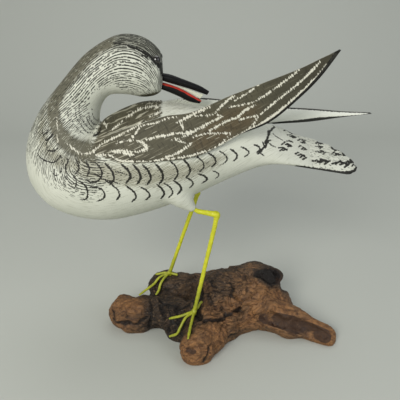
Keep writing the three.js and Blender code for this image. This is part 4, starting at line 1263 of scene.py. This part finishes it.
# satin enamel: nearly black, with one soft reflection, and a ragged edge to the red
bill_paint, step = new_material("satin_black_enamel_with_red_gape")
worn = step("noise", step("place"), 260.0, 3.0)
ragged = step("MULTIPLY_ADD", worn, 0.9, -0.45)
red_edge = step("soft ramp", step("ADD", step("field", attribute_name="gape"), ragged), -0.12, 0.12)
black = step("mix", worn, colour("#050506"), colour("#0e0e10"))
red = step("mix", worn, colour("#9a261d"), colour("#c94536"))
finish_material(bill_paint, step("mix", red_edge, black, red), 0.48, (worn, 0.2, 0.2),
                {"Specular IOR Level": 0.2})

for name, table in (("upper_bill", UPPER_MANDIBLE), ("lower_bill", LOWER_MANDIBLE)):
    rows = stations(table, 70)
    rings = carve(rows, BILL_SIDES)
    bill = make_object(name, *skin(rings), bill_paint)
    gape = np.full(len(bill.data.vertices), -2.0)
    if table is LOWER_MANDIBLE:
        for i, (ring, row) in enumerate(zip(rings, rows)):
            outer, inner = place(*row[0:2]), place(*row[2:4])
            thick = np.linalg.norm(outer - inner)
            height = (ring - (outer + inner) / 2) @ (outer - inner) / thick
            gape[i * BILL_SIDES:(i + 1) * BILL_SIDES] = height - GAPE_LEVEL * thick
    write_fields(bill.data, {"gape": gape})
    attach(bill, "root")
    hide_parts("upper_mandible" if name == "upper_bill" else "lower_mandible")

PLUME_FROM, PLUME_TO = 0.42, 0.93        # its stretch along the bill
PLUME_THICKNESS = 1.2
PLUME_ROOM = 0.45          # gap to the mandible above and below it
t = np.linspace(PLUME_FROM, PLUME_TO, 60)
upper_line = np.array([place(*row[2:4]) for row in stations(UPPER_MANDIBLE, 90)])
lower_line = np.array([place(*row[0:2]) for row in stations(LOWER_MANDIBLE, 90)])
angle = turns(40)
rings = []
for high, low in zip(smooth_line(upper_line, t), smooth_line(lower_line, t)):
    wide = np.linalg.norm(high - low)
    gap = (high - low) / wide * PLUME_ROOM
    ring = low + gap + (high - low - 2 * gap) * (0.5 + 0.5 * np.sin(angle))[:, None]
    quill = 1 - 0.5 * np.exp(-(np.sin(angle) / 0.12) ** 2)
    ring[:, 1] += PLUME_THICKNESS / 2 * min(1, wide / 2) * np.cos(angle) * quill
    rings.append(ring)
# matt acrylic again, with the barbs as fine slanted lines
plume_paint, step = new_material("acrylic_pale_green_white")
barbs = step("stretch", step("place"), (150.0, 100.0, 1400.0), (0.0, 0.5, 0.0))
barbs = step("noise", barbs, 1.0, 2.0)
pale = step("mix", barbs, colour("#b9bda4"), colour("#e4e6d6"))
finish_material(plume_paint, pale, 0.6, (barbs, 0.4, 0.2))
plume = make_object("loose_feather", *skin(rings), plume_paint)
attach(plume, "root")
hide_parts("preened_feather")
print("bill and feather made")

# %% [markdown]
# ## The eyes
# Small beads of dark glass. Only the dome shows. Clear coat over a nearly black brown gives
# the single bright reflection that makes the head look alive.

# %% Eyes
EYE_DIAMETER = 5.4
EYE_SUNK = 1.0             # how deep the middle of the bead lies under the skin
EYE_PLACE = (-11.3, 29.9)
EYE_SIDES = 32
glass, step = new_material("glass_eye_dark_brown")
iris = step("mix", step("noise", step("place"), 500.0), colour("#060504"), colour("#1a120c"))
finish_material(glass, iris, 0.06, gloss={"Coat Weight": 1.0})
turn = turns(EYE_SIDES)
for side, name in ((LEFT, "left_eye"), (RIGHT, "right_eye")):
    centre = place(*EYE_PLACE)
    centre[1] = side * (half_width_at(centre[0], centre[2], side) - EYE_SUNK)
    bead = []
    for a in np.linspace(0.02, math.pi - 0.02, 24):
        ring = [math.sin(a) * np.cos(turn), np.full(EYE_SIDES, -side * math.cos(a)),
                math.sin(a) * np.sin(turn)]
        bead.append(centre + EYE_DIAMETER / 2 * np.stack(ring, axis=1))
    eye = make_object(name + "_bead", *skin(bead), glass)
    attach(eye, "root")
    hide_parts(name)
print("eyes set")

# %% [markdown]
# ## The driftwood
# A knobby piece of root, worn round by water. Its knobs are drawn as tapered sausages that
# melt into one another, the same way as in the solid. The welded skin is pulled onto that
# soft union, and then worn, cracked and wrinkled.

# %% Shape of the driftwood
# two ends of each knob or hollow, each with its place and radius, in units of the drawing
KNOBS = np.array([
    [-32.1, 0.6, 5.4, 7.4, -27.3, 0.9, 5.4, 7.1], [-29.5, -3.4, 2.3, 3.4, -25, -3.4, 2.3, 3.4],
    [-23, 0, 6, 6.6, -9.7, -2.3, 7.2, 7.3], [-11, -7, 3.4, 5, -7, -9.3, 3.4, 4.6],
    [-14.8, 13.6, 8.8, 8.5, -8, 13.6, 8.8, 8], [6.6, 4.5, 12.2, 10.2, 23.3, 8, 13.1, 11.2],
    [24.8, 10.8, 15.3, 7.8, 30, 9.7, 13.6, 6.9], [37.5, 3.4, 4, 4.4, 39.2, 1.7, 3.6, 4.3],
    [27, -1.5, 6.5, 7.6, 53.4, -11, 1.8, 3.2], [5, -6, 6, 7, 10.5, -4.5, 5, 6],
    [1.2, -5.1, 8, 8.3, -1, -20.3, 4.8, 7.3], [-6, 17, 5.1, 7.6, 17, 18.2, 6.5, 9.1],
    [-20, 6, 2.8, 7, 27.8, 7, 2.8, 7], [29, 12, 17.5, 4.5, 31.5, 11, 17.5, 4.4],
    [36, 5.5, 9.5, 4.2, 36.5, 5, 7.5, 4.4], [3.8, -16.3, 4.4, 5.4, 8.2, -9.5, 5.2, 6],
    [12, -7.5, 4.3, 4.4, 19, -4, 4, 4.4], [31, -2.5, 7.6, 6.8, 51, -9.9, 3.4, 3.9],
])
HOLLOWS = np.array([
    [27.0, -9.0, 9.8, 2.5, 40.0, -12.0, 8.0, 3.4], [40.0, -12.0, 8.0, 3.4, 50.5, -14.4, 5.0, 2.6],
    [24.0, 3.8, 23.8, 1.6, 28.6, 4.6, 21.0, 3.3], [28.6, 4.6, 21.0, 3.3, 32.6, 6.6, 19.6, 3.0],
    [37.6, 3, 17.8, 2.6, 37.6, 13, 11.2, 2.6], [-4.8, -26.2, 8.0, 0.8, -2.7, -26.8, 7.4, 0.9],
])
MELT = 2.8                 # rounding where knobs melt into one another
GRAIN = 0.9                # height of the slow ripples of the wood
WOOD_NET = 0.72            # mesh size of its skin, in millimetres


def knob_distance(p, knob):
    share, gap = to_segment(p, knob[0:3], knob[4:7])
    return gap - knob[3] * (1 - share) - knob[7] * share


def wood_field(p):
    """Distance of each point from the wood, negative inside it."""
    field = np.full(len(p), 1e3)
    for knob in KNOBS:
        field = -soft_max(-field, -knob_distance(p, knob), MELT)
    for hollow in HOLLOWS:
        field = soft_max(field, -knob_distance(p, hollow), MELT / 2)
    ripple = (np.sin(p[:, 0] / 1.8 + p[:, 2] / 2.3) * np.sin(p[:, 1] / 2.1 - p[:, 2] / 2.8)
              + np.sin(p[:, 0] / 3.6 - p[:, 1] / 3 + 1))
    return field - GRAIN * ripple / 2


def knob_skin(knob):
    """A tapered sausage: round caps over both ends, and a straight skin between them."""
    a, radius_a, b, radius_b = np.split(knob * WOOD, [3, 4, 7])
    run = unit(b - a)
    turn = np.linspace(-math.pi / 2 + 0.05, 0, 8)[:, None]
    line = [a + run * radius_a * np.sin(turn), b - run * radius_b * np.sin(turn[::-1])]
    radii = [radius_a * np.cos(turn), radius_b * np.cos(turn[::-1])]
    return skin(tube(np.vstack(line), np.vstack(radii), 32))


base = weld("driftwood", [knob_skin(k) for k in KNOBS], WOOD_NET)
smooth(base, 6)
points = read_points(base.data) / WOOD
for _ in range(5):
    here = wood_field(points)
    slope = np.stack([(wood_field(points + d) - wood_field(points - d)) / 0.2
                      for d in np.eye(3) * 0.1], axis=1)
    steep = np.maximum(np.sum(slope ** 2, axis=1), 0.25)
    points -= np.clip(here / steep, -1.2, 1.2)[:, None] * slope
write_points(base.data, points * WOOD)
smooth(base, 2)
print("driftwood welded:", len(base.data.vertices), "points")

# %% [markdown]
# Burl wood grows in lumps with sharp creases between them, and its skin is wrinkled along the
# grain. Two kinds of noise make that: one scatters points and measures how near the two nearest
# are, the other is a smooth lattice noise. The large cracks and grooves are drawn one by one.


# %% Wear, wrinkles and cracks of the driftwood
def lattice_noise(p, seed):
    """Smooth noise from 0 to 1, between random numbers on a lattice; p counts its cells."""
    table = np.random.default_rng(seed).random((32, 32, 32))
    cell = np.floor(p).astype(int)
    w = p - cell
    w = w * w * (3 - 2 * w)
    total = np.zeros(len(p))
    for corner in np.ndindex(2, 2, 2):
        i, j, k = (cell + corner).T % 32
        total += np.prod(np.where(corner, w, 1 - w), axis=1) * table[i, j, k]
    return total


def drift_of(p, seeds):
    """A small smooth shift for each point, within half a unit in each direction."""
    return np.stack([lattice_noise(p, seed) for seed in seeds], axis=1) - 0.5


def burl_noise(p, seed):
    """Distances to the nearest and the next of points that are scattered one to a cell."""
    table = np.random.default_rng(seed).random((16, 16, 16, 3))
    cell = np.floor(p).astype(int)
    gaps = []
    for corner in np.ndindex(3, 3, 3):
        home = cell + corner - 1
        i, j, k = home.T % 16
        gaps.append(np.linalg.norm(home + table[i, j, k] - p, axis=1))
    gaps = np.sort(gaps, axis=0)
    return gaps[0], gaps[1]


# depth and half width in millimetres, then places on the wood
CREASES = [
    [2.0, 1.2, [-37.5, -3.5, 5.7], [-34.6, -5.8, 5.6], [-31.5, -6.9, 5.6], [-27, -7.4, 5.2],
     [-22.6, -6.4, 7.9]],
    [1.2, 1.0, [-37.2, -2.0, 8.5], [-36.6, -4.0, 8.5], [-36.4, -5.0, 6.5]],
    [0.9, 0.9, [-31.5, -4.5, 11.5], [-30.5, -6.6, 9.0], [-31, -7, 7.5]],
    [1.6, 1.2, [-21.2, -1.2, 13.3], [-20.1, -5.1, 11.0], [-21.0, -6.6, 7.1], [-20.5, -8, 2]],
    [1.5, 1.1, [-16.8, -3.5, 12.4], [-15.4, -7.7, 8.9], [-16, -9.5, 2]],
    [1.5, 1.1, [-13.4, -4.7, 12.7], [-11.9, -9.5, 9.3], [-13.3, -11.1, 2.9]],
    [1.3, 1.0, [-9.9, -7.0, 12.4], [-9.0, -10.9, 9.4], [-9.8, -12.7, 4.3]],
    [1.6, 1.4, [-16.9, -1.5, 13.5], [-13.4, -4.2, 12.9], [-9.1, -6.0, 13.2], [-5.0, -6.1, 14.3],
     [-2.1, -4.5, 15.6]],
    [3.2, 2.6, [1.3, 4.6, 20.5], [-0.4, 0.2, 18.3], [-0.8, -5.0, 16.0], [-1.2, -9.7, 14.5],
     [-0.4, -13.6, 13.5]],
    [2.4, 1.5, [2.0, -15.2, 13.3], [5.2, -14.1, 12.4], [9.0, -10.7, 10.7], [11.6, -8.0, 10.7],
     [16.8, -5.0, 10.9]],
    [1.2, 1.0, [24.6, 2.4, 22.8], [29, 3.0, 18.0], [32.9, 3.6, 14.5], [33.6, 0.6, 12.6]],
    [1.6, 1.2, [9.0, -13.0, 5.5], [11.5, -11.0, 5.4], [15, -9, 4]],
    [1.4, 1.1, [3.8, 2.7, 21.7], [5.0, -0.8, 20.6], [7.5, -1.4, 20.0]],
    [1.5, 1.2, [5.5, -25.5, 9], [3.1, -26.5, 5], [2.5, -27.5, 1]],
    [1.0, 0.9, [12, 3, 21.5], [13.5, -1.5, 19], [12.5, -4, 16], [14, -6, 13]],
    [1.0, 0.9, [19, 4, 22], [20, -0.5, 18.5], [18.5, -3.5, 15]],
    [0.8, 0.8, [30, -4.9, 11.2], [38, -5.4, 11], [45, -7.3, 8.8]],
    [0.7, 0.8, [31, -9.5, 7], [39, -12, 5.5], [46, -13.5, 4]],
]
# place on the wood, reach, then how light, how warm and how rough the wood is there
PATCHES = [
    [-29, -2, 9, 8, 0.38, 0.85, 0.5], [-35, -2, 6, 4, 0.1, 0.6, 0.6], [-27, -7, 3, 5, 0.25, 0.4, 0.8],
    [-15, -7, 9, 7.5, -1.2, 0.0, 1.2], [-20, 8, 12, 6, -0.85, 0.1, 0.9], [-9, 6, 13, 8, 0.1, 0.2, 0.8],
    [-8, -5, 13, 4, 0.15, 0.2, 1.0], [10, -3, 17, 10, 0.2, 0.45, 1.0], [8, 10, 20, 10, 0.1, 0.35, 1.0],
    [22, -4, 14, 6, 0.9, 0.65, 0.8], [28, -1, 15, 5, 1.0, 0.6, 0.6],
    # the first patch of this row darkens the curl's hollow: painted shade
    [29, 4, 21, 4, -1.3, 0.0, 0.7], [30, 11, 22, 6, -0.2, 0.1, 0.8], [35, 7, 19, 4, -0.1, 0.1, 0.6],
    [30.5, 5.9, 16.0, 2.2, 1.6, 0.6, 0.4], [32.1, 2.6, 14, 2.2, 1.8, 0.6, 0.3],
    [32.7, -0.6, 12.4, 2.2, 1.6, 0.6, 0.3], [22.4, 6.8, 24.6, 3.6, 0.7, 0.35, 0.6],
    [36, 5, 10, 5, 0.25, 0.5, 0.4], [40, -4, 11, 8, 0.75, 0.6, 0.4], [52, -12, 3, 6, 0.7, 0.8, 0.4],
    [34, -14, 3, 6, 0.5, 0.5, 0.6], [0, -25, 7, 7, 0.55, 0.75, 0.7], [6, -17, 7, 6, 0.6, 0.8, 0.8],
    [-3, -16, 11, 4, 0.0, 0.3, 0.9], [13, -9, 6, 7, 0.65, 0.6, 0.8], [17, -7, 2, 5, 0.3, 0.5, 0.8],
    [10, 25, 8, 12, 0.1, 0.3, 1.0],
]


def patch_values(p):
    """Light, warm and rough at each point, as a mean of the patches that are near."""
    patches = np.array(PATCHES)
    weights = np.stack([np.exp(-np.sum((p - patch[0:3]) ** 2, axis=1) / patch[3] ** 2) + 1e-9
                        for patch in patches], axis=1)
    return weights @ patches[:, 4:7] / weights.sum(axis=1)[:, None]


def crease_depth(p):
    """Depth in millimetres that the drawn creases cut at each place."""
    cut = np.zeros(len(p))
    wavering = p + 2 * drift_of(p / 3.5, (50, 51, 52))
    for depth, width, *path in CREASES:
        path = np.array([smooth_wood.find_nearest(Vector(spot))[0] for spot in np.array(path) * WOOD])
        for a, b in zip(path, path[1:]):
            gap = to_segment(wavering, a, b)[1]
            cut = np.maximum(cut, depth * np.exp(-(gap / width) ** 2))
    return cut


def faces_of(mesh):
    return [tuple(face.vertices) for face in mesh.polygons]


points, normals = read_points(base.data), read_vectors(base.data, "normal")
smooth_wood = surface_of(points, faces_of(base.data))
light, warm, rough = patch_values(points / WOOD).T
# the grain wanders, so the noise is looked up at places that wander too
bent = points + 9 * drift_of(points / 13 + 7, (1, 2, 3))
near, following = burl_noise(bent / [19, 12, 12], 4)
crease = np.exp(-((following - near) / 0.09) ** 2)
near_small = burl_noise(bent / [10, 5.5, 5.5], 5)[0]
folds = (1 - np.abs(2 * lattice_noise(bent / [12, 5, 5], 8) - 1)) ** 5
wrinkle = (1 - np.abs(2 * lattice_noise(bent / [9, 2.4, 2.4], 6) - 1)) ** 4
fibre = lattice_noise(bent / [4, 1.5, 1.5], 7) - 0.5
crumble = lattice_noise(points / 2.2, 9) - 0.5
drawn_cut = crease_depth(points)
relief = (2.2 * (0.5 - near) - 0.6 * crease + 0.9 * (0.5 - near_small) - 0.8 * folds
          - 0.5 * wrinkle + 0.6 * fibre + 0.6 * crumble) * rough - drawn_cut
relief *= np.clip(points[:, 2] / 4, 0.1, 1)
points = points + relief[:, None] * normals
points[:, 2] = np.maximum(points[:, 2], 0.0)
points = keep_in_box(points, "driftwood_base", 4.0)
write_points(base.data, points)
in_hollow = np.max([1 - knob_distance(points / WOOD, hollow) * 0.9 for hollow in HOLLOWS], axis=0)
in_curl = np.clip(in_hollow, 0, 1) * np.clip(points[:, 2] / WOOD - 17.5, 0, 1)
# how dark the wood is painted there: in creases and folds, in drawn cracks and in the curl's hollow; partly
# dirt, partly painted shade in these recesses
dark = (0.25 * crease + 0.25 * folds + 0.3 * wrinkle) * rough + 0.5 * drawn_cut + 0.75 * in_curl
dark = np.clip(dark, 0, 1)
write_fields(base.data, {"light": light, "warm": warm, "dark": dark, "rough": rough,
                         "hollow": np.clip(in_hollow, 0, 1)})
# the flat underside needs few points
work = bmesh.new()
work.from_mesh(base.data)
under = [v for v in work.verts if v.co.z < 0.05 * MM]
bmesh.ops.remove_doubles(work, verts=under, dist=0.25 * MM)
work.to_mesh(base.data)
work.free()
print("driftwood worn:", len(base.data.polygons), "faces")

# %% [markdown]
# Driftwood is dry, grey-brown outside and nearly black in its cracks, where dirt stays; cracks, creases and
# hollows are darkened further as painted shade. Worn
# knobs are polished to a warm tan by hands and water, and a bridge of old bark is almost
# black. The grain runs along the root.

# %% Material of the driftwood
# dry wood scatters light, and only its worn ridges shine a little
wood, step = new_material("driftwood_root_dry_and_worn")
field = {name: step("field", attribute_name=name)
         for name in ("light", "warm", "dark", "rough", "hollow", "deep")}
spot = step("place")
warp = add_node(wood.node_tree, "ShaderNodeTexNoise", {"Vector": spot, "Scale": 45.0, "Detail": 2.0})
bent = add_node(wood.node_tree, "ShaderNodeVectorMath", {
    0: warp.outputs["Color"], 1: (0.03, 0.03, 0.03), 2: spot}, operation="MULTIPLY_ADD").outputs[0]
fibre = step("noise", step("stretch", bent, (170.0, 430.0, 430.0)), 1.0, 5.0, 0.65)    # 2.3 mm across
patch = step("SUBTRACT", step("noise", bent, 60.0, 5.0, 0.6), 0.5)
fleck = step("noise", spot, 700.0, 3.0)                                                # 1.4 mm
wrinkles = step("noise", step("stretch", bent, (110.0, 290.0, 290.0)), 1.0, 2.0)       # 3.4 mm across
wrinkles = step("soft ramp", step("ABSOLUTE", step("SUBTRACT", wrinkles, 0.5)), 0.05, 0.0)
rough_here = step("soft ramp", step("MULTIPLY_ADD", patch, 0.8, field["rough"]), 0.4, 1.1)
wrinkles = step("MULTIPLY", wrinkles, step("MULTIPLY_ADD", rough_here, 0.9, 0.1))

grey = step("mix", step("soft ramp", fibre, 0.32, 0.7), colour("#281d15"), colour("#7c6146"))
tan = step("mix", step("soft ramp", fibre, 0.28, 0.7), colour("#54341d"), colour("#a27447"))
warmth = step("soft ramp", step("MULTIPLY_ADD", patch, 1.1, field["warm"]), 0.2, 0.85)
wood_colour = step("mix", warmth, grey, tan)
lightness = step("soft ramp", step("MULTIPLY_ADD", patch, 1.3, field["light"]), -0.35, 0.7)
wood_colour = step("mix", lightness, step("mix", 0.72, wood_colour, colour("#17100d")), wood_colour)
# hollows get a darker colour, and places with a high dark or deep field go near black: partly dirt, partly
# painted shade in recesses and where nearby wood hides the sky
dark_hollow = step("mix", fibre, colour("#20130d"), colour("#4c3424"))
hollowed = step("MULTIPLY", step("soft ramp", field["hollow"], 0.3, 0.6), 0.92)
dirt_and_shade = step("MULTIPLY_ADD", wrinkles, 0.36, field["dark"])
dirt_and_shade = step("MAXIMUM", dirt_and_shade, step("MULTIPLY", field["deep"], 0.6))
dirt_and_shade = step("MULTIPLY_ADD", step("SUBTRACT", fibre, 0.5), 0.6, dirt_and_shade)
for amount, stain in ((step("soft ramp", fleck, 0.58, 0.7, 0.6), colour("#1a100a")),
                      (step("soft ramp", fleck, 0.42, 0.32, 0.4), colour("#8d7050")),
                      (hollowed, dark_hollow),
                      (step("soft ramp", dirt_and_shade, 0.2, 0.85, 0.9), colour("#0d0806"))):
    wood_colour = step("mix", amount, wood_colour, stain)
height = step("MULTIPLY_ADD", patch, 0.8, fibre)
height = step("MULTIPLY_ADD", fleck, 0.4, height)
height = step("MULTIPLY_ADD", wrinkles, -0.5, height)
finish_material(wood, wood_colour, step("ramp", fibre, 0.3, 0.7, 0.75, 0.45), (height, 0.8, 1.5),
                {"Specular IOR Level": 0.4})
dress(base.data, wood)

# %% Where little light gets: painted shade in sheltered places
SKY = [Vector(way).normalized() for way in (
    (0, 0, 1), (1, 0, 0.6), (-1, 0, 0.6), (0, 1, 0.6), (0, -1, 0.6),
    (0.7, 0.7, 1), (-0.7, 0.7, 1), (0.7, -0.7, 1), (-0.7, -0.7, 1))]
SHADE_REACH = 14.0         # wood that is farther off than this leaves a place light
START_ABOVE = 0.4          # rays start above the skin, so that they don't hit it at once

points = read_points(base.data)
worn_wood = surface_of(points, faces_of(base.data))
# deep: the share of the sky that nearby wood hides; the shader paints these places darker, as painted shade
deep = np.zeros(len(points))
for i, (p, n) in enumerate(zip(points, read_vectors(base.data, "normal"))):
    ways = [way for way in SKY if way.dot(Vector(n)) > 0.1]
    start = Vector(p + n * START_ABOVE)
    closed = sum(worn_wood.ray_cast(start, way, SHADE_REACH)[0] is not None for way in ways)
    deep[i] = closed / len(ways) if ways else 0.6
write_fields(base.data, {"deep": deep})
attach(base, "root")
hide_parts("driftwood_base")
print("driftwood: dirt lies on", round(100 * np.mean(deep > 0.3)), "percent of its points")

# %% [markdown]
# ## The legs
# Iron wire, bent at the ankle, with wire toes soldered on and thick yellow paint that gathers
# in lumps. A rod that follows a path suits Geometry Nodes: each path becomes a curve, its
# radius comes from the path, and noise pushes the skin in and out like brushed enamel.

# %% Paths of the legs
LEG_ROD = 3.0
TOE_WIRE = 2.1
TOE_DROP = 16.0            # farthest that a toe bends down from the foot
THIGH_PEG = 6.0            # length of the rod inside the thigh
FOOT_PEG = 3.0             # and inside the driftwood
FIT = 0.3                  # gap between a toe and the wood
ANKLE = [4.9, -12.4]
FEET = {LEFT: [-2.3, -10.5], RIGHT: [-13.6, 13.2]}
# bends of each toe on the plan, in millimetres from the foot
TOES = {
    LEFT: [[[-9, 0], [-18.5, 1.5]], [[-5, -3], [-10, -8], [-12, -9.5], [-18, -8]],
           [[-2, -11], [-4, -25]], [[3, 4], [5.5, 8]]],
    RIGHT: [[[-11, -8], [-22.5, -18]], [[-6, 1], [-11.5, 1]], [[-5, -9], [-10, -16]],
            [[3.5, -1], [6.5, -2]]],
}
SWELL = [1, 1, 1, 1, 1.3, 1.75, 1.15, 1, 1, 1, 1]     # at the ankle, as shares of the rod


def rest_height(x, y, radius):
    """Height of the wood below a wire of this radius."""
    rim = [(radius * math.cos(a), radius * math.sin(a)) for a in turns(8)]
    heights = []
    for dx, dy in [(0, 0), *rim]:
        hit = worn_wood.ray_cast(Vector((x + dx, y + dy, BASE_LENGTH)), Vector((0, 0, -1)))
        heights.append(hit[0].z if hit[0] else 0.0)
    return max(heights)


def toe_path(foot, bends):
    """A wire that lies on the wood, from the foot round the bends."""
    t = np.linspace(0, 1, 30)
    line = smooth_line([[foot[0], foot[1], 0]] + [[foot[0] + x, foot[1] + y, 0] for x, y in bends], t)
    rest = np.array([rest_height(x, y, TOE_WIRE / 2) for x, y, _ in line]) + TOE_WIRE / 2
    for settle in (np.max, np.mean):     # a wire bridges small dents
        rest = settle([np.roll(np.pad(rest, 4, "edge"), k)[4:-4] for k in range(-3, 4)], axis=0)
    line[:, 2] = foot[2] + (max(rest[-1], foot[2] - TOE_DROP) - foot[2]) * t
    line[1:, 2] = np.maximum(line[1:, 2], rest[1:])
    return line, TOE_WIRE / 2 * np.where(t > 0.93, 0.8, 1.0)


def leg_paths(side):
    """Lines of a leg's rod and toes, each with its radii."""
    radius = LEG_ROD / 2
    above, end = thigh_line(side)[-2:]
    out = unit(end - above)
    offset, shift = THIGHS[side]
    ankle = place(ANKLE[0] + shift, ANKLE[1], offset)
    run = unit(ankle - end)
    foot = np.array([*FEET[side], 0]) * WOOD
    foot[2] = rest_height(foot[0], foot[1], LEG_ROD) + TOE_WIRE / 2 + FIT
    down = unit(foot - ankle)
    rod = [end - out * THIGH_PEG, end - out * THIGH_PEG / 2, end, end + out * radius,
           ankle - run * 2.5 * radius, ankle - run * 0.3 * radius, ankle + down * 2.5 * radius,
           (ankle + foot) / 2, foot - down * 3 * radius, foot, foot - [0, 0, FOOT_PEG]]
    t = np.linspace(0, 1, 140)
    paths = [(smooth_line(rod, t), np.interp(t, np.linspace(0, 1, len(SWELL)), SWELL) * radius)]
    paths += [toe_path(foot, bends) for bends in TOES[side]]
    # the blob of solder where the toes meet
    paths.append((foot + np.array([[0, 0, -1.2], [0, 0, 0.4], [0, 0, 1.8]]), np.array([1.3, 2.1, 1.6])))
    return paths


print("the left foot stands", round(leg_paths(LEFT)[0][0][-1][2], 1), "mm above the floor")

# %% Painted rods by Geometry Nodes
LUMP_HEIGHT = 0.7          # thick paint gathers in lumps
LUMPS_PER_METRE = 420.0
ROD_NET = 0.35             # mesh size of the painted skin

# thick enamel stays a little glossy; it is chipped, and darker and greener towards the bottom
enamel, step = new_material("enamel_thick_yellow_on_wire")
spot = step("place")
cloud = step("noise", spot, 300.0, 3.0)
chips = step("ramp", step("noise", spot, 1500.0, 2.0), 0.66, 0.72, 0.7)
low_down = step("ramp", step("split", spot, output="Z"), 0.052, 0.04)
yellow = step("mix", cloud, colour("#b3b41c"), colour("#dcdc30"))
yellow = step("mix", chips, yellow, colour("#6f6a20"))
yellow = step("mix", step("MULTIPLY", low_down, cloud), yellow, colour("#63702c"))
finish_material(enamel, yellow, 0.42, (cloud, 0.5, 0.4))

rods, rod_sockets, given = new_group(
    "painted_rods", {"Lump height": "Float", "Lumps per metre": "Float", "Net": "Float"})
step = steps_of(rods)
thick = step("stored", "thick")
curves = add_node(rods, "GeometryNodeMeshToCurve", {0: given["Geometry"]})
sized = add_node(rods, "GeometryNodeSetCurveRadius", {"Curve": curves.outputs[0], "Radius": thick})
ring = add_node(rods, "GeometryNodeCurvePrimitiveCircle", {"Resolution": 20, "Radius": 1.0})
tubes = add_node(rods, "GeometryNodeCurveToMesh", {
    "Curve": sized.outputs[0], "Profile Curve": ring.outputs[0], "Fill Caps": True, "Scale": thick})
solid = add_node(rods, "GeometryNodeMeshToVolume", {
    "Mesh": tubes.outputs[0], "Voxel Size": given["Net"], "Interior Band Width": 0.001},
    resolution_mode="VOXEL_SIZE")
shell = add_node(rods, "GeometryNodeVolumeToMesh", {
    "Volume": solid.outputs[0], "Voxel Size": given["Net"], "Threshold": 0.1}, resolution_mode="VOXEL_SIZE")
lumps = add_node(rods, "ShaderNodeTexNoise", {"Scale": given["Lumps per metre"], "Detail": 2.0}).outputs[0]
push = step("MULTIPLY", step("ADD", lumps, -0.5), given["Lump height"])
offset = add_node(rods, "ShaderNodeVectorMath", {
    0: add_node(rods, "GeometryNodeInputNormal").outputs[0], "Scale": push}, operation="SCALE")
lumpy = add_node(rods, "GeometryNodeSetPosition", {
    "Geometry": shell.outputs[0], "Offset": offset.outputs[0]})
finish_group(rods, lumpy.outputs[0], enamel)

for side, name in ((LEFT, "left_leg"), (RIGHT, "right_leg")):
    points, edges, radii = [], [], []
    for line, widths in leg_paths(side):
        edges += [(len(points) + i, len(points) + i + 1) for i in range(len(line) - 1)]
        points += list(line)
        radii += list(widths)
    leg = make_object(name + "_paint", points, [], edges=edges)
    write_fields(leg.data, {"thick": np.array(radii) * MM})
    sizes = {"Lump height": LUMP_HEIGHT * MM, "Lumps per metre": LUMPS_PER_METRE, "Net": ROD_NET * MM}
    run_group(leg, rods, rod_sockets, sizes, enamel)
    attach(leg, "root")
    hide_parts(name)
    print(leg.name, len(leg.data.polygons), "faces, spans",
          np.ptp(read_points(leg.data), axis=0).round(1).tolist(), "mm")
